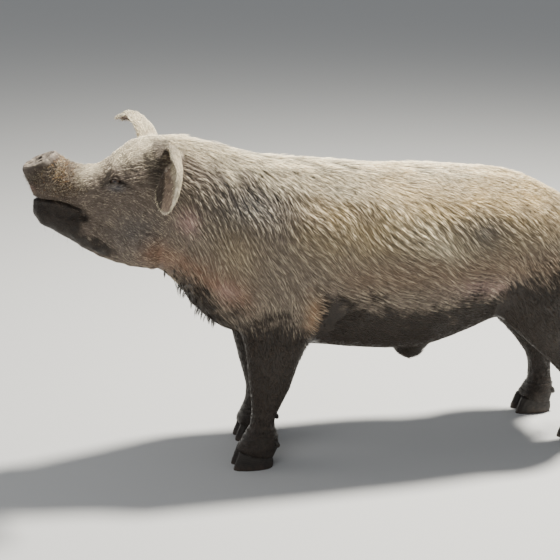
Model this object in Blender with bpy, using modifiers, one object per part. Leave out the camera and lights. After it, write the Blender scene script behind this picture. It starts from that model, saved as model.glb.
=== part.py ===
"""A full-grown domestic pig, standing square with its head raised and its snout turned up.

Metres, +Z up. The pig faces -X, its left side is -Y, and the floor is z = 0. It is
modelled with x = 0 between its front feet, then slid until the middle of its
footprint is the origin.

The body is made of ring lofts: each row of a table is one ring, which crosses the
body between two points of its side outline, so the tables read as the pig's own
profile. The lofts are fused, and the whole is parted into nodes by thin gaps.
"""

import math
import random

import bmesh
import bpy
import numpy as np
from mathutils import Matrix, Vector
from mathutils.bvhtree import BVHTree

# Head
EYE_RADIUS = 0.0125
EYE_CENTRE = Vector((-0.366, 0.081, 0.858))
EYE_AIM = Vector((-0.30, 0.94, 0.12)).normalized()
EYE_SLIT = (0.015, 0.0052)
LID_RADIUS = 0.0027
DISC_CENTRE = Vector((-0.563, 0.0, 0.909))
DISC_AIM = Vector((-0.388, 0.0, 0.922))
DISC_RADII = (0.051, 0.048)
DISC_RIM = 0.007
NOSTRIL_RADII = (0.0125, 0.0085, 0.020)
NOSTRIL_SPREAD = 0.019
MOUTH_FRONT_OPENING = 0.008
MOUTH_CORNER_OPENING = 0.0015
BROW_CENTRE = Vector((-0.346, 0.066, 0.868))
BROW_RADII = (0.048, 0.026, 0.022)

# Legs and feet
FORE_FOOT = Vector((0.005, 0.101, 0))
HIND_FOOT = Vector((0.962, 0.120, 0))
RIGHT_FORE_SHIFT = 0.040
LEFT_HIND_SHIFT = 0.055
SHIFT_FROM_HEIGHT = 0.36
CLAW_HALF_WIDTH = 0.0212
CLEFT = 0.0026
CORONET_HEIGHT = 0.044
CORONET_SLOPE = 0.22
DEWCLAW_RADII = (0.0095, 0.0085, 0.0165)
DEWCLAW_SPREAD = 0.024
DEWCLAW_HEIGHT = 0.072
DEWCLAW_BACK = {"fore": 0.057, "hind": 0.050}

# Ears and tail
EAR_THICKNESS = 0.006
EAR_STEPS = 9
TAIL_ROOT_RADIUS = 0.021
TAIL_TIP_RADIUS = 0.007

# The smoothed flesh leaves open edges under the exact solver, and none under this one
SOLVER = "MANIFOLD"

# Coat: overlapping locks of bristle along the back, and the switch of the tail
LOCK_SEED = 11
LOCK_LENGTH = 0.140
LOCK_WIDTH = 0.046
LOCK_RIDGE = 0.0050
LOCK_ROWS = 12
LOCK_FROM, LOCK_TO = -0.170, 0.820
LOCK_ANGLES = (-42, -21, 0, 21, 42)
LOCK_AXIS_HEIGHT = 0.640
# How far each ring's flat underside is above the skin, from the root to the tip
LOCK_LIFTS = (-0.0070, -0.0030, -0.0006, 0.0020, 0.0036)
SWITCH_LOCKS = 6
SWITCH_LENGTH = 0.085
SWITCH_WIDTH = 0.011
SWITCH_RIDGE = 0.003

# The gap that parts two nodes, and the wider one at an ear's or the tail's root
GAP = 0.0003
GRAFT_GAP = 0.0005

# Fineness of the model
RING_POINTS = 28
RING_STEPS = 5
VOXEL = 0.0085
SMOOTHING_ROUNDS = 5
FLESH_FACES_KEPT = 0.039

# Materials: name, colour, roughness
HIDE = ("hide", (0.42, 0.34, 0.26), 0.75)
MUDDY_HIDE = ("muddy_hide", (0.10, 0.08, 0.06), 0.85)
HORN = ("horn", (0.08, 0.065, 0.05), 0.6)
EYE = ("eye", (0.02, 0.014, 0.010), 0.1)

# Each row: top or front end (x, z), bottom or back end (x, z), half width, y, where the ring is
# widest from the first end to the second, and how square it is (2 is an ellipse).
TRUNK = [
    (-0.255, 0.955, -0.275, 0.600, 0.112, 0, 0.50, 2.1),
    (-0.200, 0.962, -0.235, 0.575, 0.128, 0, 0.52, 2.1),
    (-0.130, 0.951, -0.190, 0.525, 0.148, 0, 0.54, 2.1),
    (-0.060, 0.932, -0.150, 0.462, 0.168, 0, 0.55, 2.1),
    (0.010, 0.906, -0.090, 0.405, 0.188, 0, 0.54, 2.2),
    (0.080, 0.893, 0.000, 0.378, 0.202, 0, 0.52, 2.3),
    (0.170, 0.880, 0.110, 0.356, 0.210, 0, 0.52, 2.4),
    (0.290, 0.866, 0.250, 0.330, 0.217, 0, 0.53, 2.4),
    (0.420, 0.856, 0.390, 0.308, 0.222, 0, 0.54, 2.4),
    (0.550, 0.848, 0.530, 0.312, 0.220, 0, 0.53, 2.4),
    (0.670, 0.838, 0.650, 0.350, 0.212, 0, 0.50, 2.3),
    (0.780, 0.822, 0.760, 0.400, 0.202, 0, 0.47, 2.2),
    (0.870, 0.786, 0.860, 0.440, 0.190, 0, 0.46, 2.1),
    (0.955, 0.736, 0.945, 0.470, 0.162, 0, 0.45, 2.0),
    (1.015, 0.676, 1.000, 0.510, 0.110, 0, 0.45, 2.0),
    (1.035, 0.615, 1.028, 0.550, 0.045, 0, 0.50, 2.0),
]

SKULL = [
    (-0.516, 0.932, -0.613, 0.891, 0.049, 0, 0.50, 2.2),
    (-0.506, 0.922, -0.606, 0.874, 0.049, 0, 0.50, 2.2),
    (-0.490, 0.905, -0.594, 0.842, 0.046, 0, 0.50, 2.2),
    (-0.474, 0.898, -0.580, 0.810, 0.051, 0, 0.54, 2.2),
    (-0.448, 0.892, -0.526, 0.786, 0.057, 0, 0.60, 2.2),
    (-0.412, 0.891, -0.460, 0.750, 0.069, 0, 0.60, 2.2),
    (-0.375, 0.908, -0.405, 0.700, 0.087, 0, 0.50, 2.2),
    (-0.335, 0.938, -0.355, 0.650, 0.106, 0, 0.42, 2.2),
    (-0.295, 0.957, -0.305, 0.620, 0.119, 0, 0.42, 2.2),
    (-0.245, 0.962, -0.260, 0.605, 0.124, 0, 0.45, 2.1),
    (-0.195, 0.958, -0.215, 0.600, 0.118, 0, 0.50, 2.1),
]

LOWER_JAW = [
    (-0.588, 0.790, -0.586, 0.758, 0.020, 0, 0.50, 2.2),
    (-0.582, 0.798, -0.570, 0.734, 0.036, 0, 0.45, 2.2),
    (-0.552, 0.800, -0.536, 0.712, 0.047, 0, 0.45, 2.2),
    (-0.505, 0.795, -0.487, 0.680, 0.056, 0, 0.45, 2.2),
    (-0.455, 0.780, -0.436, 0.645, 0.068, 0, 0.48, 2.2),
    (-0.400, 0.770, -0.385, 0.620, 0.086, 0, 0.50, 2.2),
    (-0.335, 0.760, -0.330, 0.602, 0.100, 0, 0.52, 2.2),
    (-0.265, 0.740, -0.265, 0.590, 0.108, 0, 0.55, 2.2),
]

# The mouth, from the front of the lips back to its corner
MOUTH = [(-0.660, 0.812), (-0.575, 0.806), (-0.536, 0.804), (-0.499, 0.796), (-0.466, 0.780)]
# Where the head parts from the neck and the neck from the trunk: top and bottom of each line
HEAD_BACK = ((-0.175, 1.2), (-0.275, 0.3))
NECK_BACK = ((-0.020, 1.2), (-0.165, 0.3))
# Where the lower jaw goes on from the mouth's corner, back through the cheek and down
JAW_BACK = [(-0.400, 0.752), (-0.345, 0.716), (-0.325, 0.650), (-0.335, 0.500), (-0.700, 0.500)]

# Legs run down: front end, back end. The rows are for the right leg, whose y is positive.
FORE_LEG = [
    (-0.060, 0.680, 0.130, 0.700, 0.040, 0.150, 0.50, 2.2),
    (-0.070, 0.560, 0.165, 0.580, 0.058, 0.150, 0.50, 2.2),
    (-0.058, 0.470, 0.175, 0.490, 0.066, 0.144, 0.52, 2.2),
    (-0.038, 0.400, 0.168, 0.425, 0.064, 0.137, 0.50, 2.2),
    (-0.028, 0.340, 0.142, 0.352, 0.057, 0.129, 0.48, 2.2),
    (-0.021, 0.290, 0.120, 0.292, 0.051, 0.122, 0.48, 2.2),
    (-0.018, 0.245, 0.108, 0.240, 0.048, 0.116, 0.48, 2.3),
    (-0.012, 0.205, 0.092, 0.198, 0.042, 0.110, 0.48, 2.3),
    (-0.005, 0.165, 0.066, 0.158, 0.034, 0.105, 0.48, 2.2),
    (-0.012, 0.130, 0.062, 0.124, 0.036, 0.103, 0.48, 2.2),
    (-0.030, 0.095, 0.074, 0.090, 0.043, 0.102, 0.48, 2.3),
    (-0.046, 0.062, 0.066, 0.052, 0.045, 0.101, 0.48, 2.4),
    (-0.052, 0.035, 0.056, 0.025, 0.044, 0.101, 0.48, 2.4),
    (-0.052, 0.000, 0.054, 0.000, 0.044, 0.101, 0.48, 2.4),
]

HIND_LEG = [
    (0.780, 0.680, 0.960, 0.720, 0.060, 0.110, 0.50, 2.2),
    (0.715, 0.560, 1.000, 0.640, 0.086, 0.122, 0.50, 2.2),
    (0.710, 0.470, 1.022, 0.560, 0.088, 0.128, 0.50, 2.2),
    (0.745, 0.395, 1.026, 0.475, 0.077, 0.130, 0.50, 2.2),
    (0.803, 0.335, 1.018, 0.408, 0.061, 0.128, 0.50, 2.2),
    (0.852, 0.285, 1.022, 0.350, 0.047, 0.126, 0.50, 2.1),
    (0.890, 0.240, 1.034, 0.298, 0.038, 0.124, 0.45, 2.1),
    (0.920, 0.200, 1.030, 0.232, 0.037, 0.123, 0.45, 2.1),
    (0.937, 0.160, 1.014, 0.170, 0.034, 0.122, 0.48, 2.2),
    (0.940, 0.122, 1.012, 0.124, 0.035, 0.121, 0.48, 2.2),
    (0.930, 0.090, 1.022, 0.090, 0.043, 0.120, 0.48, 2.3),
    (0.916, 0.060, 1.018, 0.052, 0.045, 0.120, 0.48, 2.4),
    (0.912, 0.035, 1.010, 0.025, 0.044, 0.120, 0.48, 2.4),
    (0.912, 0.000, 1.010, 0.000, 0.044, 0.120, 0.48, 2.4),
]

SHEATH = [
    (0.410, 0.345, 0.470, 0.380, 0.030, 0, 0.50, 2.0),
    (0.440, 0.290, 0.560, 0.330, 0.040, 0, 0.50, 2.0),
    (0.470, 0.258, 0.545, 0.276, 0.031, 0, 0.50, 2.0),
    (0.480, 0.244, 0.518, 0.252, 0.016, 0, 0.50, 2.0),
]

# Where a leg ends and the trunk begins, as level rings: x front, x back, z, y inner, y outer.
# Each is a dome round the shoulder or the ham that stays clear of the flesh between the legs.
FORE_LEG_SPACE = [
    (-0.16, 0.22, -0.050, 0.020, 0.300),
    (-0.14, 0.22, 0.330, 0.028, 0.300),
    (-0.12, 0.21, 0.390, 0.060, 0.300),
    (-0.09, 0.19, 0.450, 0.105, 0.300),
    (-0.06, 0.16, 0.510, 0.145, 0.300),
    (-0.02, 0.11, 0.550, 0.185, 0.290),
]

HIND_LEG_SPACE = [
    (0.80, 1.15, -0.050, 0.020, 0.300),
    (0.76, 1.13, 0.300, 0.022, 0.300),
    (0.70, 1.10, 0.400, 0.040, 0.300),
    (0.68, 1.08, 0.480, 0.085, 0.300),
    (0.71, 1.05, 0.560, 0.120, 0.300),
    (0.76, 1.01, 0.630, 0.160, 0.290),
    (0.81, 0.96, 0.670, 0.200, 0.280),
]

# Each ear: the points of its middle line, its open side at the root and at the tip
LEFT_EAR = [
    Vector((-0.200, -0.080, 0.922)),
    Vector((-0.200, -0.146, 0.924)),
    Vector((-0.208, -0.192, 0.880)),
    Vector((-0.238, -0.202, 0.832)),
    Vector((-0.257, -0.197, 0.799)),
]
LEFT_EAR_OPENS = (Vector((-0.97, -0.10, 0.05)), Vector((-0.78, -0.62, -0.06)))
RIGHT_EAR = [
    Vector((-0.225, 0.070, 0.925)),
    Vector((-0.248, 0.110, 0.975)),
    Vector((-0.290, 0.150, 1.004)),
    Vector((-0.336, 0.166, 0.985)),
]
RIGHT_EAR_OPENS = (Vector((-0.85, 0.15, -0.50)), Vector((-0.45, -0.10, -0.90)))
# Half widths, and half angle of the cup in degrees, at even steps from root to tip
LEFT_EAR_HALF_WIDTHS = [0.044, 0.056, 0.068, 0.066, 0.058, 0.050, 0.038, 0.012]
LEFT_EAR_CUP = [70, 76, 84, 80, 68, 54, 44, 30]
RIGHT_EAR_HALF_WIDTHS = [0.062, 0.070, 0.070, 0.065, 0.050, 0.018]
RIGHT_EAR_CUP = [100, 76, 58, 46, 36, 25]

# The tail's middle line, from inside the rump to its tip
TAIL = [
    (0.985, 0.000, 0.665),
    (1.040, 0.000, 0.672),
    (1.074, 0.006, 0.648),
    (1.082, 0.024, 0.610),
    (1.066, 0.044, 0.580),
    (1.078, 0.062, 0.548),
    (1.094, 0.060, 0.510),
    (1.092, 0.048, 0.470),
]


def clear_scene():
    for obj in list(bpy.data.objects):
        bpy.data.objects.remove(obj)


def collection(name):
    made = bpy.data.collections.new(name)
    bpy.context.scene.collection.children.link(made)
    return made


def material(spec):
    name, colour, roughness = spec
    if name in bpy.data.materials:
        return bpy.data.materials[name]
    made = bpy.data.materials.new(name)
    made.use_nodes = True
    shader = made.node_tree.nodes["Principled BSDF"]
    shader.inputs["Base Color"].default_value = (*colour, 1)
    shader.inputs["Roughness"].default_value = roughness
    shader.inputs["Metallic"].default_value = 0
    return made


def mesh_from(bm, name="shape"):
    """The bmesh as triangles without doubled points, facing out."""
    bmesh.ops.remove_doubles(bm, verts=bm.verts, dist=1e-6)
    bmesh.ops.recalc_face_normals(bm, faces=bm.faces)
    bmesh.ops.triangulate(bm, faces=bm.faces)
    mesh = bpy.data.meshes.new(name)
    bm.to_mesh(mesh)
    bm.free()
    return mesh


def add_object(name, mesh):
    obj = bpy.data.objects.new(name, mesh)
    bpy.context.scene.collection.objects.link(obj)
    return obj


def copy_of(obj, name):
    return add_object(name, obj.data.copy())


def bake_modifiers(obj):
    """Replaces the object's mesh with what its modifiers make of it."""
    graph = bpy.context.evaluated_depsgraph_get()
    old = obj.data
    mesh = bpy.data.meshes.new_from_object(obj.evaluated_get(graph))
    obj.modifiers.clear()
    obj.data = mesh
    bpy.data.meshes.remove(old)


def islands(bm):
    """The faces of each connected surface."""
    left = set(bm.faces)
    found = []
    while left:
        stack = [left.pop()]
        island = []
        while stack:
            face = stack.pop()
            island.append(face)
            for edge in face.edges:
                for other in edge.link_faces:
                    if other in left:
                        left.remove(other)
                        stack.append(other)
        found.append(island)
    return found


def keep_largest(obj):
    """Drops every surface but the largest, such as a scrap that a cut has left."""
    bm = bmesh.new()
    bm.from_mesh(obj.data)
    found = islands(bm)
    largest = max(found, key=lambda faces: sum(face.calc_area() for face in faces))
    for island in found:
        if island is not largest:
            bmesh.ops.delete(bm, geom=island, context="FACES")
    bm.to_mesh(obj.data)
    bm.free()


def combine(obj, others, operation):
    """One Boolean on a collection of closed pieces, applied, with the pieces then removed."""
    pieces = collection("pieces")
    for other in others:
        for holder in list(other.users_collection):
            holder.objects.unlink(other)
        pieces.objects.link(other)
    boolean = obj.modifiers.new("combine", "BOOLEAN")
    boolean.operation = operation
    boolean.operand_type = "COLLECTION"
    boolean.collection = pieces
    boolean.solver = SOLVER
    bake_modifiers(obj)
    for other in others:
        bpy.data.objects.remove(other)
    bpy.data.collections.remove(pieces)
    keep_largest(obj)


def grown(obj, by=GAP):
    """A copy of the object whose faces all lie further out."""
    made = copy_of(obj, "grown")
    bm = bmesh.new()
    bm.from_mesh(made.data)
    bm.normal_update()
    places = [v.co + v.normal * by * min(v.calc_shell_factor(), 2) for v in bm.verts]
    for vertex, place in zip(bm.verts, places):
        vertex.co = place
    bm.to_mesh(made.data)
    bm.free()
    return made


def seat(body, pieces):
    """Cuts a seat for each piece into the body, wider than the piece by the gap."""
    combine(body, [grown(piece) for piece in pieces], "DIFFERENCE")


def take(body, space, name):
    """The part of the body inside a closed space, as a new object. The rest stays in body."""
    part = copy_of(body, name)
    boolean = part.modifiers.new("inside", "BOOLEAN")
    boolean.operation = "INTERSECT"
    boolean.object = space
    boolean.solver = SOLVER
    bake_modifiers(part)
    keep_largest(part)
    combine(body, [grown(space)], "DIFFERENCE")
    bpy.data.objects.remove(space)
    return part


def smooth_rows(rows, steps):
    """Catmull-Rom rows between the given ones, so that a few stations give a smooth form."""
    rows = np.array(rows, float)
    ends = np.vstack([2 * rows[0] - rows[1], rows, 2 * rows[-1] - rows[-2]])
    made = []
    for i in range(len(rows) - 1):
        p0, p1, p2, p3 = ends[i : i + 4]
        for t in np.arange(steps) / steps:
            square = 2 * p0 - 5 * p1 + 4 * p2 - p3
            cube = 3 * p1 - p0 - 3 * p2 + p3
            made.append(p1 + 0.5 * ((p2 - p0) * t + square * t**2 + cube * t**3))
    made.append(rows[-1])
    return made


def ring(row, points):
    """The points of one ring."""
    ax, az, bx, bz, half_width, y, widest, square = row
    first, second = Vector((ax, y, az)), Vector((bx, y, bz))
    middle = first.lerp(second, widest)
    power = 2 / square
    made = []
    for i in range(points):
        angle = 2 * math.pi * i / points
        rise, reach = math.sin(angle), math.cos(angle)
        end = first if rise > 0 else second
        along = (end - middle) * abs(rise) ** power
        across = math.copysign(abs(reach) ** power, reach) * half_width
        made.append(middle + along + Vector((0, across, 0)))
    return made


def tube_through(rings):
    """A closed bmesh through rings of equal count, with a fan at each end."""
    bm = bmesh.new()
    rows = [[bm.verts.new(p) for p in points] for points in rings]
    count = len(rows[0])
    for near, far in zip(rows, rows[1:]):
        for i in range(count):
            j = (i + 1) % count
            bm.faces.new((near[i], near[j], far[j], far[i]))
    for last in (rows[0], rows[-1]):
        hub = bm.verts.new(sum((v.co for v in last), Vector()) / count)
        for i in range(count):
            bm.faces.new((last[i], last[(i + 1) % count], hub))
    return bm


def loft(rows, points=RING_POINTS, steps=RING_STEPS):
    return tube_through([ring(row, points) for row in smooth_rows(rows, steps)])


def ellipsoid(centre, radii, turn=None, segments=24):
    """A rounded mass. turn is a rotation matrix."""
    bm = bmesh.new()
    bmesh.ops.create_uvsphere(bm, u_segments=segments, v_segments=segments // 2, radius=1)
    bm.transform(Matrix.Diagonal((*radii, 1)))
    if turn:
        bm.transform(turn)
    bm.transform(Matrix.Translation(centre))
    return bm


def pitched(degrees):
    return Matrix.Rotation(math.radians(degrees), 4, "Y")


def aimed(aim, up=Vector((0, 0, 1))):
    """The turn that takes +Z to aim and keeps +X level."""
    z = aim.normalized()
    x = up.cross(z).normalized()
    y = z.cross(x)
    return Matrix((x, y, z)).transposed().to_4x4()


def mirrored(vector, side):
    """A place or direction on the right side (side 1), or its mirror on the left (side -1)."""
    return Vector((vector.x, side * vector.y, vector.z))


def prism(outline, half_width):
    """A closed wall from an outline in the side view, across the body."""
    bm = bmesh.new()
    corners = [bm.verts.new((x, -half_width, z)) for x, z in outline]
    face = bm.faces.new(corners)
    made = bmesh.ops.extrude_face_region(bm, geom=[face])["geom"]
    moved = [v for v in made if isinstance(v, bmesh.types.BMVert)]
    bmesh.ops.translate(bm, verts=moved, vec=(0, 2 * half_width, 0))
    return mesh_from(bm)


def leg_rows(rows, side, shift):
    """The rows of one leg. The shift slides its foot back, and nothing above the elbow."""
    made = []
    for ax, az, bx, bz, half_width, y, widest, square in rows:
        slide = shift * max(0, 1 - az / SHIFT_FROM_HEIGHT)
        made.append((ax + slide, az, bx + slide, bz, half_width, side * y, widest, square))
    return made


def muscle_masses(side):
    """The rounded masses of one side that the lofts don't give."""
    masses = [
        ((0.045, 0.128, 0.620), (0.125, 0.084, 0.195), -12),
        ((0.150, 0.158, 0.462), (0.045, 0.040, 0.060), 15),
        ((0.895, 0.102, 0.590), (0.130, 0.095, 0.130), 30),
        ((0.780, 0.140, 0.480), (0.075, 0.055, 0.100), 20),
        ((-0.300, 0.062, 0.690), (0.085, 0.062, 0.075), 20),
        ((-0.250, 0.060, 0.905), (0.050, 0.050, 0.050), 0),
    ]
    return [ellipsoid(mirrored(Vector(c), side), radii, pitched(t)) for c, radii, t in masses]


def eye_mound(side):
    """The brow and the lids, before their slit is cut."""
    aim = mirrored(EYE_AIM, side)
    centre = mirrored(EYE_CENTRE, side) - aim * 0.002
    return ellipsoid(centre, (0.027, 0.020, 0.0205), aimed(aim))


def brow_ridge(side):
    return ellipsoid(mirrored(BROW_CENTRE, side), BROW_RADII, pitched(38))


def disc_rim():
    """The raised edge round the flat of the snout."""
    bm = bmesh.new()
    rings = []
    for i in range(40):
        angle = 2 * math.pi * i / 40
        out = Vector((math.cos(angle), math.sin(angle), 0))
        centre = Vector((out.x * DISC_RADII[0], out.y * DISC_RADII[1], 0))
        circle = []
        for k in range(12):
            turn = 2 * math.pi * k / 12
            around = out * math.cos(turn) + Vector((0, 0, math.sin(turn)))
            circle.append(bm.verts.new(centre + around * DISC_RIM))
        rings.append(circle)
    for near, far in zip(rings, rings[1:] + rings[:1]):
        for k in range(12):
            bm.faces.new((near[k], near[(k + 1) % 12], far[(k + 1) % 12], far[k]))
    bm.transform(aimed(DISC_AIM, Vector((1, 0, 0))))
    bm.transform(Matrix.Translation(DISC_CENTRE - DISC_AIM * 0.006))
    return bm


def lip_rolls():
    """The swell of the upper and lower lip, along the mouth on both sides."""
    rolls = []
    for side in (-1, 1):
        for (x, z), half in zip(MOUTH[2:4], (0.040, 0.048)):
            upper = Vector((x + 0.012, side * half, z + 0.012))
            lower = Vector((x + 0.014, side * (half - 0.006), z - 0.014))
            rolls.append(ellipsoid(upper, (0.036, 0.017, 0.013), pitched(12)))
            rolls.append(ellipsoid(lower, (0.036, 0.014, 0.013), pitched(12)))
    return rolls


def leg_shifts():
    """(side, how far the fore foot is slid back, how far the hind foot is)."""
    return ((-1, 0.0, LEFT_HIND_SHIFT), (1, RIGHT_FORE_SHIFT, 0.0))


def fused_flesh():
    """Head, trunk and legs as one smooth closed surface."""
    pieces = [loft(TRUNK), loft(SKULL), loft(LOWER_JAW), loft(SHEATH), disc_rim()]
    pieces += lip_rolls()
    for side, fore_shift, hind_shift in leg_shifts():
        pieces.append(loft(leg_rows(FORE_LEG, side, fore_shift)))
        pieces.append(loft(leg_rows(HIND_LEG, side, hind_shift)))
        pieces += muscle_masses(side)
        pieces.append(eye_mound(side))
        pieces.append(brow_ridge(side))
    whole = bmesh.new()
    for piece in pieces:
        mesh = mesh_from(piece)
        whole.from_mesh(mesh)
        bpy.data.meshes.remove(mesh)
    mesh = bpy.data.meshes.new("flesh")
    whole.to_mesh(mesh)
    whole.free()
    flesh = add_object("flesh", mesh)
    remesh = flesh.modifiers.new("fuse", "REMESH")
    remesh.mode = "VOXEL"
    remesh.voxel_size = VOXEL
    smooth = flesh.modifiers.new("smooth", "SMOOTH")
    smooth.iterations = SMOOTHING_ROUNDS
    smooth.factor = 0.5
    bake_modifiers(flesh)
    keep_largest(flesh)
    return flesh


def thin_out(flesh):
    """Fewer triangles, most of them kept where the form bends."""
    thinner = flesh.modifiers.new("thin", "DECIMATE")
    thinner.ratio = FLESH_FACES_KEPT
    bake_modifiers(flesh)
    keep_largest(flesh)


def cut_mouth(flesh):
    """The line between the lips, a little open at the front."""
    upper, lower = [], []
    for i, (x, z) in enumerate(MOUTH):
        t = i / (len(MOUTH) - 1)
        opening = MOUTH_FRONT_OPENING * (1 - t) + MOUTH_CORNER_OPENING * t
        upper.append((x, z + opening / 2))
        lower.append((x, z - opening / 2))
    slit = add_object("slit", prism(upper + lower[::-1], 0.2))
    combine(flesh, [slit], "DIFFERENCE")


def cut_nostrils(flesh):
    holes = []
    for side in (-1, 1):
        turn = Matrix.Rotation(math.radians(18 * side), 4, "Z")
        bm = ellipsoid((0, 0, 0), NOSTRIL_RADII, turn, segments=16)
        bm.transform(aimed(DISC_AIM, Vector((1, 0, 0))))
        place = DISC_CENTRE + Vector((-0.004, side * NOSTRIL_SPREAD, 0.002))
        bm.transform(Matrix.Translation(place))
        holes.append(add_object("nostril", mesh_from(bm)))
    combine(flesh, holes, "DIFFERENCE")


def lens(steps=10):
    """The almond outline of the parted lids, in the eye's own plane."""
    half_long, half_high = EYE_SLIT
    points = []
    for sign in (1, -1):
        for i in range(steps):
            x = sign * half_long * math.cos(math.pi * i / steps)
            y = sign * half_high * math.sin(math.pi * i / steps) ** 0.8
            points.append((x, y + half_high * 0.5 * (1 - (x / half_long) ** 2)))
    return points


def open_lids(flesh, side):
    """Cuts the slit between the lids and gives each lid its rounded edge."""
    place = Matrix.Translation(mirrored(EYE_CENTRE, side)) @ aimed(mirrored(EYE_AIM, side))
    outline = lens()
    slit = tube_through([[Vector((x, y, z)) for x, y in outline] for z in (0.0, 0.04)])
    slit.transform(place)
    combine(flesh, [add_object("slit", mesh_from(slit))], "DIFFERENCE")
    rings = []
    dome = EYE_RADIUS + LID_RADIUS + 2 * GAP
    for i, (x, y) in enumerate(outline):
        bx, by = outline[i - 1]
        fx, fy = outline[(i + 1) % len(outline)]
        out = Vector((fy - by, bx - fx, 0)).normalized()
        height = math.sqrt(max(dome**2 - x**2 - y**2, (0.45 * dome) ** 2))
        centre = Vector((x, y, height)) + out * LID_RADIUS * 0.6
        circle = []
        for k in range(6):
            turn = 2 * math.pi * k / 6
            around = out * math.cos(turn) + Vector((0, 0, math.sin(turn)))
            circle.append(centre + around * LID_RADIUS)
        rings.append(circle)
    bm = bmesh.new()
    rows = [[bm.verts.new(p) for p in circle] for circle in rings]
    for near, far in zip(rows, rows[1:] + rows[:1]):
        for k in range(6):
            bm.faces.new((near[k], near[(k + 1) % 6], far[(k + 1) % 6], far[k]))
    bm.transform(place)
    combine(flesh, [add_object("lids", mesh_from(bm))], "UNION")


def eyeball(side, name):
    bm = bmesh.new()
    bmesh.ops.create_icosphere(bm, subdivisions=3, radius=EYE_RADIUS)
    bm.transform(Matrix.Translation(mirrored(EYE_CENTRE, side)))
    return add_object(name, mesh_from(bm))


def coronet(x, foot_x):
    """The height of the line where flesh meets horn."""
    return CORONET_HEIGHT - CORONET_SLOPE * (x - foot_x)


def claw(foot, side, inner, name):
    """One of a foot's two main claws: a toe with a flat sole, pointed in front."""
    sign = -side if inner else side
    y = foot.y + sign * (CLAW_HALF_WIDTH + CLEFT / 2)
    outline = [
        (-0.051, coronet(-0.051, 0), 0.048, coronet(0.048, 0), 0.92),
        (-0.060, 0.032, 0.050, 0.018, 0.99),
        (-0.068, 0.010, 0.049, 0.006, 1.0),
        (-0.070, 0.000, 0.046, 0.000, 0.97),
    ]
    rows = []
    for front, front_z, back, back_z, wide in outline:
        width = CLAW_HALF_WIDTH * wide
        rows.append((foot.x + front, front_z, foot.x + back, back_z, width, y, 0.58, 2.15))
    return add_object(name, mesh_from(loft(rows, points=14, steps=1)))


def dewclaw(foot, side, inner, name):
    sign = -side if inner else side
    back = DEWCLAW_BACK["fore" if "fore" in name else "hind"]
    centre = foot + Vector((back, sign * DEWCLAW_SPREAD, DEWCLAW_HEIGHT))
    bm = ellipsoid(centre, DEWCLAW_RADII, pitched(-38), segments=10)
    return add_object(name, mesh_from(bm))


def feet():
    """Each foot's place, side and name."""
    for side, fore_shift, hind_shift in leg_shifts():
        which = "right" if side > 0 else "left"
        yield mirrored(FORE_FOOT, side) + Vector((fore_shift, 0, 0)), side, f"fore_{which}"
        yield mirrored(HIND_FOOT, side) + Vector((hind_shift, 0, 0)), side, f"hind_{which}"


def cut_soles(flesh):
    """Takes the flesh away below each coronet."""
    blocks = []
    for foot, _, _ in feet():
        front, back = foot.x - 0.11, foot.x + 0.11
        outline = [
            (front, -0.05),
            (back, -0.05),
            (back, coronet(back, foot.x) + GAP),
            (front, coronet(front, foot.x) + GAP),
        ]
        block = add_object("block", prism(outline, 0.075))
        block.data.transform(Matrix.Translation((0, foot.y, 0)))
        blocks.append(block)
    combine(flesh, blocks, "DIFFERENCE")


def make_claws(flesh):
    claws = []
    for foot, side, name in feet():
        for inner in (True, False):
            end = "inner" if inner else "outer"
            claws.append(claw(foot, side, inner, f"claw_{name}_{end}"))
            claws.append(dewclaw(foot, side, inner, f"dewclaw_{name}_{end}"))
    dewclaws = [c for c in claws if c.name.startswith("dew")]
    seat(flesh, dewclaws)
    return claws


def leg_space(rows, side):
    """The closed dome that parts one leg from the trunk."""
    made = []
    for front, back, z, inner, outer in rows:
        middle, half = side * (inner + outer) / 2, (outer - inner) / 2
        made.append((front, z, back, z, half, middle, 0.5, 3.2))
    return add_object("space", mesh_from(loft(made, points=20, steps=2)))


def front_space(top, bottom):
    """Everything in front of a line across the body in the side view."""
    (tx, tz), (bx, bz) = top, bottom
    return add_object("space", prism([(tx, tz), (-1.0, tz), (-1.0, bz), (bx, bz)], 0.5))


def jaw_space():
    return add_object("space", prism(MOUTH + JAW_BACK, 0.3))


def between(values, t):
    """The value at t, from 0 to 1, along evenly spaced values."""
    place = t * (len(values) - 1)
    i = min(int(place), len(values) - 2)
    return values[i] + (values[i + 1] - values[i]) * (place - i)


def ear(name, middle, opens, half_widths, cup):
    """A cupped leaf along its middle line, rolled up at the root and flatter to the tip."""
    line = [Vector(row) for row in smooth_rows([tuple(p) for p in middle], EAR_STEPS // 3)]
    bm = bmesh.new()
    rows = []
    for i, centre in enumerate(line):
        t = i / (len(line) - 1)
        along = (line[min(i + 1, len(line) - 1)] - line[max(i - 1, 0)]).normalized()
        open_side = opens[0].lerp(opens[1], t)
        open_side = (open_side - along * open_side.dot(along)).normalized()
        across = along.cross(open_side)
        half_width = between(half_widths, t)
        half_angle = math.radians(between(cup, t))
        radius = half_width / half_angle
        row = []
        for k in range(EAR_STEPS):
            angle = half_angle * (2 * k / (EAR_STEPS - 1) - 1)
            place = centre + across * radius * math.sin(angle)
            row.append(bm.verts.new(place + open_side * radius * (1 - math.cos(angle))))
        rows.append(row)
    for near, far in zip(rows, rows[1:]):
        for k in range(EAR_STEPS - 1):
            bm.faces.new((near[k], near[k + 1], far[k + 1], far[k]))
    obj = add_object(name, mesh_from(bm, name))
    shell = obj.modifiers.new("shell", "SOLIDIFY")
    shell.thickness = EAR_THICKNESS
    shell.offset = 0
    shell.use_even_offset = True
    bake_modifiers(obj)
    return obj


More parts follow.
